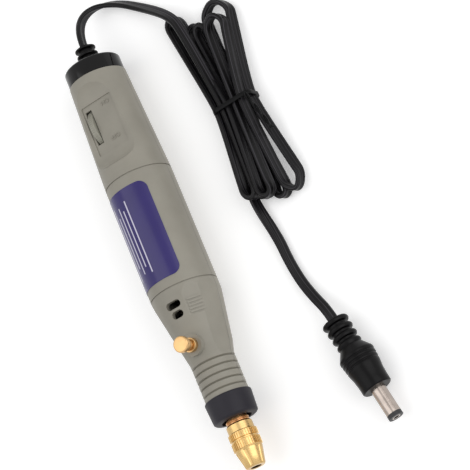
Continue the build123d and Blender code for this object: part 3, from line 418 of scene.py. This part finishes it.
# Each run of the hank in turn: where it meets its top fold, crosses the waist (x and height) and meets its
# bottom fold, and the far point of the fold that follows. Runs 0 and 10 meet the rest of the lead.
HANK_RUNS = (
    ((36.8, 77.8, 8.4), (40.3, 7.4), (38.7, 7.8, 6.8), (36.3, 6.2, 6.6)),
    ((30.2, 81.8, 2.7), (37.8, 7.2), (33.9, 8.4, 6.4), (32.6, 83.9, 2.7)),
    ((35.0, 82.2, 2.7), (42.7, 7.4), (39.8, 5.8, 7.2), (42.2, 3.9, 7.1)),
    ((46.3, 71.8, 7.0), (45.1, 7.4), (44.6, 5.6, 7.0), (49.8, 74.8, 6.8)),
    ((53.4, 70.8, 6.6), (47.6, 7.4), (48.8, 4.6, 4.4), (52.4, 1.5, 3.8)),
    ((55.8, 75.6, 3.2), (50.0, 5.2), (55.4, 6.4, 3.2), (50.8, 81.0, 3.2)),
    ((45.4, 77.2, 3.2), (45.1, 2.9), (48.6, 4.0, 2.9), (46.2, 2.2, 2.9)),
    ((45.0, 72.8, 5.2), (47.6, 2.9), (43.8, 3.8, 2.9), (42.8, 74.8, 5.1)),
    ((40.4, 73.2, 5.0), (42.7, 2.9), (41.8, 7.2, 2.9), (39.4, 5.4, 2.9)),
    ((41.8, 74.6, 2.6), (40.3, 2.9), (37.0, 7.4, 2.9), (39.6, 76.8, 2.6)),
    ((37.0, 75.2, 2.6), (37.8, 2.9), (35.0, 10.2, 2.9)),
)


def hank_run(run):
    """One run of the hank: straight through the waist, and held straight up to each of its folds."""
    top, (waist_x, waist_z), bottom, *fold_end = HANK_RUNS[run]
    waist = Vector((waist_x, HANK_WAIST_Y, waist_z))
    first, last = (Vector(each) for each in ((top, bottom) if run % 2 == 0 else (bottom, top)))
    points = [first]
    if run > 0:
        points.append(first + (waist - first).normalized() * FOLD_REACH)
    for corner in (first, last):
        points.append(waist + (corner - waist).normalized() * WAIST_HALF)
    if run < len(HANK_RUNS) - 1:
        points.append(last + (waist - last).normalized() * FOLD_REACH)
    return points + [last] + [Vector(each) for each in fold_end]


hank_points = [each for run in range(len(HANK_RUNS)) for each in hank_run(run)]
boot_end = Vector((0, y_at(TOOL_LENGTH + 8.0), AXIS_HEIGHT))
hank_out = (hank_points[-1] - hank_points[-2]).normalized()
plug_along = Vector(PLUG_ALONG)
plug_rear = Vector(PLUG_REAR)
route = [
    boot_end,
    boot_end + Vector((0, LEAD_STRAIGHT, 0)),
    Vector((1.0, 101.5, 8.0)),
    Vector((6.5, 104.5, 4.0)),
    Vector((15.0, 101.3, 2.0)),
    Vector((23.5, 94.0, 3.0)),
    Vector((29.6, 88.2, 5.6)),
    Vector((33.9, 83.3, 7.4)),
    *hank_points,
    hank_points[-1] + hank_out * LEAD_STRAIGHT,
    Vector((37.0, -9.5, 2.0)),
    Vector((37.3, -18.5, 2.0)),
    Vector((38.6, -27.5, 2.2)),
    Vector((41.6, -35.6, 3.8)),
    plug_rear - plug_along * LEAD_STRAIGHT,
    plug_rear,
]
print("route points", len(route))

# %% [markdown]
# ### From a route to a line
# The spline is drawn without thickness first, to read the line that it follows and to measure it. Its
# points are the route's own, and its order of three keeps it close to them. It is a curve and not a row
# of cylinders, because a lead bends in one smooth sweep.

# %% The lead's spline
def draw_spline(name, points, cyclic, order):
    data = bpy.data.curves.new(name, "CURVE")
    data.dimensions = "3D"
    spline = data.splines.new("NURBS")
    spline.points.add(len(points) - 1)
    for control, each in zip(spline.points, points):
        control.co = (*(Vector(each) * MM), 1)
    spline.use_cyclic_u = cyclic
    spline.order_u = order
    spline.use_endpoint_u = not cyclic
    line = bpy.data.objects.new(name, data)
    bpy.context.scene.collection.objects.link(line)
    return line


def as_mesh(line):
    bpy.context.view_layer.update()
    shown = line.evaluated_get(bpy.context.evaluated_depsgraph_get())
    return bpy.data.meshes.new_from_object(shown)


lead_line = draw_spline("lead_line", route, False, 3)
lead_line.data.resolution_u = 10
lead_line.data.twist_mode = "Z_UP"
path_mesh = as_mesh(lead_line)
lead_path = [each.co.copy() for each in path_mesh.vertices]
lead_length = sum((after - before).length for before, after in zip(lead_path, lead_path[1:]))
print("lead is", round(lead_length / MM, 1), "mm long on", len(lead_path), "points")

# %% [markdown]
# ### Its lean and its section
# The same spline then carries a section like a figure of eight, kept upright by its twist setting. The
# runs of a real hank lean on each other like shingles, so each point of the route has a lean, which
# turns over with the direction of the run. The result is taken as a mesh, and both curves go.

# %% Leans along the route
WAIST_LEAN = 34.0
FAN_LEAN = 56.0
FOLD_LEAN = 16.0
LEANS_BEFORE_HANK = [0, 0, 0, 12, 30, 48, 56, 50]
LEANS_AFTER_HANK = [40, 80, 90, 90, 90, 90, 90]


def hank_leans(run):
    """The lean of each point of a run, in degrees: least in the tie, most where the runs fan out."""
    way = 1 if run % 2 == 0 else -1
    leans = [FOLD_LEAN, FAN_LEAN, WAIST_LEAN] if run > 0 else [FAN_LEAN, WAIST_LEAN]
    leans += [WAIST_LEAN, FAN_LEAN, FOLD_LEAN, 0] if run < len(HANK_RUNS) - 1 else [WAIST_LEAN, FOLD_LEAN]
    return [way * lean for lean in leans]


leans = [lean for run in range(len(HANK_RUNS)) for lean in hank_leans(run)]
leans = LEANS_BEFORE_HANK + leans + LEANS_AFTER_HANK
assert len(leans) == len(route)
print("leans from", min(leans), "to", max(leans), "degrees")

# %% The lead's section and its mesh
SECTION_STEPS = 20
SECTION_WAIST = 0.7
SECTION_LOBE = 1.35
section_points = []
for step in range(SECTION_STEPS):
    angle = math.tau * step / SECTION_STEPS
    waisted = SECTION_WAIST + SECTION_LOBE * math.cos(angle) ** 2
    section_points.append((math.sin(angle) * waisted, math.cos(angle) * LEAD_WIDTH / 2, 0))
section_line = draw_spline("section_line", section_points, True, 3)
section_line.data.dimensions = "2D"
section_line.data.resolution_u = 1

for control, lean in zip(lead_line.data.splines[0].points, leans):
    control.tilt = math.radians(lean)
lead_line.data.bevel_mode = "OBJECT"
lead_line.data.bevel_object = section_line
lead_line.data.use_fill_caps = True
lead_mesh = as_mesh(lead_line)
lead = bpy.data.objects.new("lead", lead_mesh)
bpy.context.scene.collection.objects.link(lead)
bpy.data.objects.remove(lead_line)
bpy.data.objects.remove(section_line)
lead_mesh.materials.clear()
lead_mesh.materials.append(lead_vinyl.material)
for face in lead_mesh.polygons:
    face.use_smooth = True
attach(lead, "housing")
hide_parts("lead_to_bundle", "cord_bundle", "lead_to_plug")
print("lead faces", len(lead_mesh.polygons), "maps", [each.name for each in lead_mesh.uv_layers])

# %% [markdown]
# ## Turned and moulded pieces
# Most small parts of this tool are bodies of revolution, turned on a lathe or moulded round. A maker
# draws half of such a part, and so does this: the outline is a few points of length and radius, spun
# once round. Real edges are never sharp, so the sharp ones are bevelled afterwards.

# %% Helpers for pieces
CREASE_ANGLE = 32.0


def outline_of(points):
    """A new shape that holds one closed outline, in millimetres, ready to be spun."""
    shape = bmesh.new()
    corners = [shape.verts.new((radius, 0, along)) for along, radius in points]
    for first, second in zip(corners, corners[1:] + corners[:1]):
        shape.edges.new((first, second))
    return shape


def spin_round(shape, steps=64):
    """Spin an outline once round its axis and close it."""
    bmesh.ops.spin(shape, geom=shape.verts[:] + shape.edges[:], cent=(0, 0, 0), axis=(0, 0, 1),
                   angle=math.tau, steps=steps, use_merge=True)
    bmesh.ops.remove_doubles(shape, verts=shape.verts[:], dist=0.001)
    bmesh.ops.recalc_face_normals(shape, faces=shape.faces[:])


def round_edges(shape, width, segments=3, sharper_than=28.0, only=None):
    """Bevel the edges that turn by more than an angle."""
    edges = [edge for edge in shape.edges
             if len(edge.link_faces) == 2 and math.degrees(edge.calc_face_angle(0)) > sharper_than
             and (only is None or only(edge))]
    bmesh.ops.bevel(shape, geom=edges, offset=width, offset_type="OFFSET", affect="EDGES",
                    segments=segments, profile=0.5, material=-1, clamp_overlap=True)


def middle_of(item):
    """Length along the axis, radius and angle of the middle of an edge or a face."""
    centre = sum((corner.co for corner in item.verts), Vector()) / len(item.verts)
    return centre.z, math.hypot(centre.x, centre.y), math.degrees(math.atan2(centre.y, centre.x)) % 360


def finish_piece(name, shape, stand, finish, body, replaces=()):
    """Put a shape at its place, smooth it, and hang it on its body."""
    bmesh.ops.transform(shape, matrix=stand, verts=shape.verts[:])
    mesh = bpy.data.meshes.new(name)
    shape.to_mesh(mesh)
    shape.free()
    for face in mesh.polygons:
        face.use_smooth = True
    mesh.set_sharp_from_angle(angle=math.radians(CREASE_ANGLE))
    mesh.materials.append(finish.material)
    piece = bpy.data.objects.new(name, mesh)
    bpy.context.scene.collection.objects.link(piece)
    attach(piece, body)
    if replaces:
        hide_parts(*replaces)
    print(name, "has", len(mesh.polygons), "faces")
    return piece

# %% [markdown]
# ## Chuck nut
# The brass nut is turned from bar. Two bands of straight knurling give the fingers a grip and six
# shallow flutes run down its cone. The knurls are every second strip of a band, inset and lifted,
# which is what the knurling wheel does to the metal.

# %% Chuck nut
KNURLS = 36
nut = outline_of([
    (0, 2.0), (0, 3.3), (0.35, 3.6), (6.4, 4.95), (6.85, 4.85), (7.1, 5.05), (10.0, 5.05),
    (10.2, 4.8), (10.6, 4.8), (10.8, 5.05), (13.1, 5.05), (13.35, 4.85), (16.0, 4.8), (16.3, 4.55),
    (16.3, 4.03), (6.9, 4.03), (6.9, 3.15), (4.7, 3.15), (1.15, 2.1),
])
spin_round(nut, 2 * KNURLS)
ridges, flutes = [], []
for face in nut.faces:
    along, radius, angle = middle_of(face)
    strip = int(angle / (180 / KNURLS))
    if radius > 5 and strip % 2 == 0:
        ridges.append(face)
    if 0.4 < along < 6.4 and radius > 3.6 and strip % 12 < 4:
        flutes.append(face)
bmesh.ops.inset_individual(nut, faces=ridges, thickness=0.1, depth=0.3)
bmesh.ops.inset_region(nut, faces=flutes, thickness=0.3, depth=-0.26, use_even_offset=True)
finish_piece("chuck_nut_knurled", nut, ON_TOOL, brass, "chuck_nut", ["chuck_nut"])

# %% [markdown]
# ## Spindle thread
# A few turns of the spindle's thread show between the nut and the nose ring. They are drawn as rings,
# because at a pitch of half a millimetre nobody sees that a thread climbs.

# %% Spindle thread
THREAD_FRONT = 16.4
THREAD_PITCH = 0.54
thread_points = [(THREAD_FRONT, 3.9)]
for turn_number in range(3):
    start = THREAD_FRONT + turn_number * THREAD_PITCH
    thread_points += [
        (start + 0.04, 3.98), (start + 0.22, 4.28), (start + 0.3, 4.28), (start + 0.5, 3.98)]
thread_points.append((18.02, 3.9))
thread = outline_of(thread_points)
spin_round(thread)
finish_piece("spindle_thread", thread, ON_TOOL, thread_bronze, "spindle_train")

# %% [markdown]
# ## Nose ring
# The ring plugs into the front of the casing and holds the front bearing. It is moulded with a soft
# outer edge, so that the hand can slide up to it. One outline gives both its rim and the seat inside,
# and only the edges outside are rounded, because the seat has to stay sharp.

# %% Nose ring
ring_shape = outline_of([
    (18.1, 5.6), (18.1, 6.6), (18.35, 7.75), (18.9, 8.3), (26.1, 8.75), (26.5, 8.72),
    (26.8, 8.45), (26.8, 7.0), (31.2, 7.0), (31.2, 6.0), (21.5, 6.0), (21.5, 5.6),
])
spin_round(ring_shape, 96)
round_edges(ring_shape, 0.3, 3, only=lambda edge: middle_of(edge)[1] > 7.4 and middle_of(edge)[0] < 26.9)
finish_piece("nose_ring_soft", ring_shape, ON_TOOL, matt_ring, "housing", ["nose_ring"])

# %% [markdown]
# ## Rear cap
# The cap is a polished moulding that plugs into the tail. It could be a plain cylinder with a rounded
# rim, but its spigot and its bore belong to it as well. So it is spun from one outline, and only the
# outer edge of its end gets the wide round that catches the light.

# %% Rear cap
cap_shape = outline_of([
    (151.6, 7.45), (151.6, 9.05), (155.2, 9.05), (155.2, 10.5), (155.35, 10.8), (161.5, 10.8),
    (161.5, 2.8), (158.5, 2.8), (158.5, 7.45),
])
spin_round(cap_shape, 96)
round_edges(cap_shape, 1.0, 5, only=lambda edge: middle_of(edge)[0] > 161.4 and middle_of(edge)[1] > 10)
finish_piece("rear_cap_polished", cap_shape, ON_TOOL, gloss_black, "housing", ["rear_cap"])

# %% [markdown]
# ## Cable boot
# The boot keeps the lead from being bent sharply at the casing: its thin neck flexes, and its collars
# limit how far. It is spun round like the cap. Then its hole alone is pressed flat, because the flex
# that runs through it is flat.

# %% Cable boot
boot_shape = outline_of([
    (157.3, 2.1), (157.3, 4.6), (158.5, 4.6), (158.5, 2.8), (161.5, 2.8), (161.7, 3.5), (162.6, 3.4),
    (163.0, 2.8), (165.3, 2.7), (165.5, 4.0), (166.2, 4.05), (166.4, 2.7), (167.9, 2.65), (168.1, 3.95),
    (168.8, 3.95), (169.0, 2.6), (169.5, 2.5), (169.5, 2.1),
])
spin_round(boot_shape, 48)
bore = [corner for corner in boot_shape.verts if math.hypot(corner.co.x, corner.co.y) < 2.2]
bmesh.ops.scale(boot_shape, vec=(1.0, 0.52, 1.0), verts=bore)
round_edges(boot_shape, 0.22, 2, sharper_than=40, only=lambda edge: middle_of(edge)[1] > 3.2)
finish_piece("cable_boot_ribbed", boot_shape, ON_TOOL, boot_rubber, "housing", ["cable_boot"])

# %% [markdown]
# ## Spindle lock button
# Pressing the brass button drops its pin into the spindle's collar, so that the nut can be turned. The
# button has a wide head with a rounded rim, and a hollow neck that hides the spring. The bush that
# guides it stands a little out of its boss. Both are turned parts, so both are spun.

# %% Button and its bush
ON_BUTTON = place((0, y_at(BUTTON_STATION), AXIS_HEIGHT), (0, 0, 1), (1, 0, 0))
button_shape = outline_of([
    (5.1, 0), (5.1, 0.8), (5.3, 1.0), (16.65, 1.0), (16.65, 1.68), (12.05, 1.68), (12.05, 1.8),
    (15.35, 1.8), (15.35, 2.55), (16.4, 2.6), (16.6, 2.95), (18.4, 2.95), (18.4, 0),
])
spin_round(button_shape, 48)
round_edges(button_shape, 0.55, 5, only=lambda edge: middle_of(edge)[0] > 18.3)
finish_piece("lock_button_turned", button_shape, ON_BUTTON, button_brass, "lock_button", ["lock_button"])

bush_shape = outline_of([(8.3, 1.08), (8.3, 2.6), (12.5, 2.6), (12.5, 1.85), (9.1, 1.85), (9.1, 1.08)])
spin_round(bush_shape, 48)
round_edges(bush_shape, 0.16, 3, only=lambda edge: middle_of(edge)[0] > 12.4)
finish_piece("lock_bush_turned", bush_shape, ON_BUTTON, button_brass, "housing", ["lock_bush"])

# %% [markdown]
# ## Lock spring
# The spring under the button is wound from wire: a ring of wire is spun up the axis as it goes round.
# A real spring closes up when the button goes down; this one is wound at one height and does not move
# with the button.

# %% Lock spring
SPRING_FLOOR = 9.1
SPRING_HEIGHT = 7.5
WIRE_R = 0.22
COIL_R = 1.425
COILS = 6
COIL_STEPS = 144
spring = bmesh.new()
bmesh.ops.create_circle(spring, segments=8, radius=WIRE_R, matrix=(
    Matrix.Translation((COIL_R, 0, SPRING_FLOOR + WIRE_R)) @ Matrix.Rotation(math.pi / 2, 4, "X")))
bmesh.ops.spin(spring, geom=spring.verts[:] + spring.edges[:], cent=(0, 0, 0), axis=(0, 0, 1),
               dvec=(0, 0, (SPRING_HEIGHT - 2 * WIRE_R) / COIL_STEPS),
               angle=math.tau * COILS, steps=COIL_STEPS)
bmesh.ops.holes_fill(spring, edges=[edge for edge in spring.edges if edge.is_boundary])
bmesh.ops.recalc_face_normals(spring, faces=spring.faces[:])
coil = finish_piece("lock_spring_wound", spring, ON_BUTTON, spring_steel, "housing", ["lock_spring"])
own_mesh(coil)

# %% [markdown]
# ## Speed wheel
# The wheel is the same grey as the casing and shows as a thin bow in its slot. Its rim has fine teeth
# for the thumb. They are made like the nut's knurls: every second strip of the rim is lifted.

# %% Speed wheel
ON_WHEEL = place((-4.3, 55.75, 15.1), (1, 0, 0), (0, 0, 1))
WHEEL_TEETH = 60
wheel_shape = outline_of([
    (-1.0, 0), (-1.0, 7.5), (-0.8, 7.72), (0.8, 7.72), (1.0, 7.5), (1.0, 1.5), (4.0, 1.5), (4.0, 0),
])
spin_round(wheel_shape, 2 * WHEEL_TEETH)
teeth = []
for face in wheel_shape.faces:
    along, radius, angle = middle_of(face)
    if radius > 7.65 and int(angle / (180 / WHEEL_TEETH)) % 2 == 0:
        teeth.append(face)
bmesh.ops.inset_individual(wheel_shape, faces=teeth, thickness=0.05, depth=0.22)
finish_piece("speed_wheel_toothed", wheel_shape, ON_WHEEL, wheel_plastic, "speed_wheel", ["speed_wheel"])

# %% [markdown]
# ## Plug
# The plug's body is moulded over the flex. Round ribs at its back bend with the lead, a cone leads up
# to its widest ring, three grooves mark where the fingers go, and the grip narrows to the barrel. Two
# loops write the ribs and the grooves into one outline, which is then spun like the rest.

# %% Plug body
ON_PLUG = place(PLUG_REAR, PLUG_ALONG, (0, 0, 1))
RIB_PITCH = 3.0
GROOVE_PITCH = 1.5
plug_points = [(0, 0), (0, 3.9)]
for number, rib_r in enumerate((5.0, 4.85, 4.75, 4.65)):
    start = number * RIB_PITCH
    plug_points += [
        (start + 0.3, rib_r - 0.3), (start + 0.8, rib_r), (start + 1.3, rib_r), (start + 1.8, rib_r - 0.3)]
    plug_points += [(start + 2.1, 3.55), (start + 2.8, 3.5)] if number < 3 else [(start + 2.1, 4.3)]
plug_points += [(14.2, 6.35), (14.7, 6.62)]
for number in range(3):
    start = 15.6 + number * GROOVE_PITCH
    rim = 6.6 - number * 0.13
    plug_points += [
        (start, rim), (start + 0.15, rim - 0.32), (start + 0.6, rim - 0.34), (start + 0.75, rim - 0.05)]
plug_points += [
    (20.6, 6.1), (22.5, 5.72), (25.5, 5.5), (28.1, 5.5), (28.5, 5.1), (28.5, 2.5), (25.5, 2.5), (25.5, 0)]
plug_shape = outline_of(plug_points)
spin_round(plug_shape, 72)
round_edges(plug_shape, 0.12, 2,
            only=lambda edge: 14 < middle_of(edge)[0] < 28.2 and middle_of(edge)[1] > 5)
finish_piece("plug_body_ribbed", plug_shape, ON_PLUG, plug_rubber, "housing", ["plug_body"])

# %% [markdown]
# ## The tie round the hank
# A plastic-covered wire holds the hank and goes once round its waist. It could be bent from a strip,
# but a block is quicker: two of its sides are taken away, its long edges are rounded, and only then
# does the wall that is left get its thickness.

# %% Band of the tie
TIE_MIDDLE = (43.9, 41.0, 5.15)
TIE_SIZE = (16.85, 1.7, 9.9)
TIE_CORNER = 2.6
TIE_WALL = 0.55
band = bmesh.new()
bmesh.ops.create_cube(band, size=1.0)
bmesh.ops.scale(band, vec=TIE_SIZE, verts=band.verts[:])
bmesh.ops.delete(band, geom=[face for face in band.faces if abs(face.normal.y) > 0.5], context="FACES")
corners = [edge for edge in band.edges if len(edge.link_faces) == 2]
bmesh.ops.bevel(band, geom=corners, offset=TIE_CORNER, offset_type="OFFSET", affect="EDGES",
                segments=6, profile=0.5, material=-1)
bmesh.ops.recalc_face_normals(band, faces=band.faces[:])
bmesh.ops.solidify(band, geom=band.faces[:], thickness=TIE_WALL)
round_edges(band, 0.2, 2, sharper_than=60)
ON_TIE = place(TIE_MIDDLE, (0, 0, 1), (1, 0, 0))
finish_piece("hank_tie_band", band, ON_TIE, tie_plastic, "housing", ["bundle_tie"])

# %% [markdown]
# ### Its twisted ends
# The two ends of the wire are twisted together and left lying along the hank. A helix could be drawn
# as a curve, but a small circle that climbs its own axis as it turns is how a twist is really made.
# Two of them, half a turn apart, are the pair.

# %% Twisted ends of the tie
TWIST_LENGTH = 16.5
TWIST_TURNS = 1.6
TWIST_STEPS = 60
TIE_WIRE_R = 0.42
on_twist = place((50.7, 41.1, 10.6), (3.6, -16.3, -2.6), (0, 0, 1))
for number in range(2):
    twist = bmesh.new()
    beside = Matrix.Rotation(math.pi * number, 4, "Z") @ Matrix.Translation((TIE_WIRE_R + 0.01, 0, 0))
    bmesh.ops.create_circle(twist, segments=10, radius=TIE_WIRE_R, matrix=beside)
    bmesh.ops.spin(twist, geom=twist.verts[:] + twist.edges[:], cent=(0, 0, 0), axis=(0, 0, 1),
                   dvec=(0, 0, TWIST_LENGTH / TWIST_STEPS),
                   angle=math.tau * TWIST_TURNS, steps=TWIST_STEPS)
    bmesh.ops.holes_fill(twist, edges=[edge for edge in twist.edges if edge.is_boundary])
    bmesh.ops.recalc_face_normals(twist, faces=twist.faces[:])
    finish_piece(f"hank_tie_end_{number + 1}", twist, on_twist, tie_plastic, "housing")

# %% [markdown]
# ## Raised words on the panel
# The wheel's panel is marked ON at its rear and OFF at its front. The letters stand out of the mould
# in the casing's own plastic. They are set as text, made a mesh, and only then put in their place.

# %% Words
PANEL_HEIGHT = 21.0
LETTER_SIZE = 2.3
LETTER_HEIGHT = 0.12


def raised_word(word, x, station):
    """A word that stands out of the panel and reads from the tool's rear."""
    data = bpy.data.curves.new(f"word_{word.lower()}", "FONT")
    data.body = word
    data.size = LETTER_SIZE
    data.align_x = "CENTER"
    data.align_y = "CENTER"
    data.extrude = LETTER_HEIGHT
    letters = bpy.data.objects.new(f"word_{word.lower()}", data)
    bpy.context.scene.collection.objects.link(letters)
    shape = bmesh.new()
    word_mesh = as_mesh(letters)
    shape.from_mesh(word_mesh)
    bpy.data.objects.remove(letters)
    bmesh.ops.remove_doubles(shape, verts=shape.verts[:], dist=0.001)
    on_panel = place((x, y_at(station), PANEL_HEIGHT), (0, 0, 1), (-1, 0, 0))
    finish_piece(f"raised_{word.lower()}", shape, on_panel, casing, "housing")


raised_word("ON", 3.6, 143.2)
raised_word("OFF", 2.4, 129.6)

# %% [markdown]
# ## Case screws
# Four screws in deep holes underneath pull the halves of the casing together. Each head has a cross
# for the driver. It could be cut out with a second shape, but it is cleaner to push in the strips of
# the head's own face that lie in the cross.

# %% Case screws
SCREW_PAIRS = ((64.2, 7.6), (148.5, 5.7))
SCREW_SEAT = 6.5
screw_spots = [(side * offset, y_at(station)) for station, offset in SCREW_PAIRS for side in (-1, 1)]
screws = bmesh.new()
for x, y in screw_spots:
    screw = outline_of([
        (-1.5, 0), (-1.5, 0.45), (-1.5, 1.2), (-1.4, 1.55), (-1.1, 1.85), (-0.3, 1.9), (0, 1.9),
        (0, 1.05), (8.6, 1.05), (9.5, 0.35), (9.5, 0),
    ])
    spin_round(screw, 24)
    cross = []
    for face in screw.faces:
        along, radius, angle = middle_of(face)
        arm = abs((angle + 45) % 90 - 45) < 12
        if along < -1.45 and (radius < 0.45 or (radius < 1.3 and arm)):
            cross.append(face)
    bmesh.ops.inset_region(screw, faces=cross, thickness=0.04, depth=-0.7)
    bmesh.ops.transform(screw, matrix=Matrix.Translation((x, y, SCREW_SEAT)), verts=screw.verts[:])
    one_mesh = bpy.data.meshes.new("one_screw")
    screw.to_mesh(one_mesh)
    screw.free()
    screws.from_mesh(one_mesh)
    bpy.data.meshes.remove(one_mesh)
finish_piece("case_screws_cross", screws, Matrix.Scale(MM, 4), screw_steel, "housing", ["case_screws"])

# %% [markdown]
# The lead is a free cord, not a rigid part of the tool. Its length and width are given with its route
# above, and what hangs on it is gathered here, next to the line that it follows, and printed.

# %% The lead as a cord
on_lead = [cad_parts[name] for name in ("plug_sleeve", "plug_insulator", "plug_contact")]
on_lead += [bpy.data.objects[name] for name in (
    "plug_body_ribbed", "hank_tie_band", "hank_tie_end_1", "hank_tie_end_2", "cable_boot_ribbed")]
print("with the lead", [each.name for each in on_lead])

# %% [markdown]
# ## Floor and light
# The tool lies on a plain white sweep, which glows a little so that it reads as white paper and still
# takes the tool's soft shadow. The world behind it is white to the camera, and to what mirrors or lets
# through light, by way of the light path, and gives the tool itself no more than it needs.

# %% Floor
FLOOR_HALF = 2.0
floor_mesh = bpy.data.meshes.new("floor")
floor_shape = bmesh.new()
bmesh.ops.create_grid(floor_shape, x_segments=1, y_segments=1, size=FLOOR_HALF)
floor_shape.to_mesh(floor_mesh)
floor_shape.free()
floor = bpy.data.objects.new("floor", floor_mesh)
bpy.context.scene.collection.objects.link(floor)
floor_finish = Finish("floor_white", (0.9, 0.9, 0.9), 0.9,
                      emission_color=(1, 1, 1, 1), emission_strength=0.3)
grain = floor_finish.noise(30.0, 2.0)
floor_finish.feed("Roughness", floor_finish.spread(grain, 0.3, 0.7, 0.85, 0.95))
floor_mesh.materials.append(floor_finish.material)
floor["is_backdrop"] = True
print("floor", 2 * FLOOR_HALF, "m wide")

# %% World
WORLD_LIGHT = 0.6
world = bpy.data.worlds.new("studio")
world.use_nodes = True
bpy.context.scene.world = world
links = world.node_tree.links
background = world.node_tree.nodes["Background"]
background.inputs["Color"].default_value = (1, 1, 1, 1)
rays = world.node_tree.nodes.new("ShaderNodeLightPath")
seen = rays.outputs["Is Camera Ray"]
for output in ("Is Glossy Ray", "Is Transmission Ray"):
    either = world.node_tree.nodes.new("ShaderNodeMath")
    either.operation = "MAXIMUM"
    links.new(seen, either.inputs[0])
    links.new(rays.outputs[output], either.inputs[1])
    seen = either.outputs[0]
level = world.node_tree.nodes.new("ShaderNodeMapRange")
level.inputs["To Min"].default_value = WORLD_LIGHT
level.inputs["To Max"].default_value = 1.0
links.new(seen, level.inputs["Value"])
links.new(level.outputs[0], background.inputs["Strength"])
print("world at", WORLD_LIGHT, "and seen at 1")

# %% [markdown]
# ### Two soft lamps
# The photograph has broad, soft light with hardly a shadow, as from two large soft boxes. One hangs
# above the tool and draws its top. The other stands lower on the right and brightens the flank that
# faces it. Both are weak enough for a colour to look about as it is written.

# %% Lamps
def softbox(name, spot, width, depth, power):
    """A soft box that faces the middle of the scene, with its place and size in metres."""
    data = bpy.data.lights.new(name, "AREA")
    data.shape = "RECTANGLE"
    data.size = width
    data.size_y = depth
    data.energy = power
    lamp = bpy.data.objects.new(name, data)
    bpy.context.scene.collection.objects.link(lamp)
    back = Vector(spot).normalized()
    across = Vector((0, 0, 1)).cross(back).normalized()
    turned_to_tool = Matrix((across, back.cross(across), back)).transposed().to_4x4()
    lamp.matrix_world = Matrix.Translation(Vector(spot)) @ turned_to_tool
    print(name, "gives", power, "W")


softbox("key_light", (-0.35, 0.1, 0.9), width=0.7, depth=0.9, power=2.0)
softbox("fill_light", (0.8, -0.1, 0.55), width=0.8, depth=0.9, power=3.6)
bpy.context.scene.view_settings.view_transform = "Standard"

# %% [markdown]
# ## Measure the size
# A dressed model grows easily: a bevel, a knurl or a loop of the lead can reach out of the bare model's
# box. So both boxes are kept in metres, the bare one from the start and the dressed one from
# now, and what was gained on each side is printed.

# %% Sizes
dressed_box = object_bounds()
for side, bare, dressed in zip(("low", "high"), bare_box, dressed_box):
    print(side, "side moved by", [round((after - before) / MM, 2) for before, after in zip(bare, dressed)])
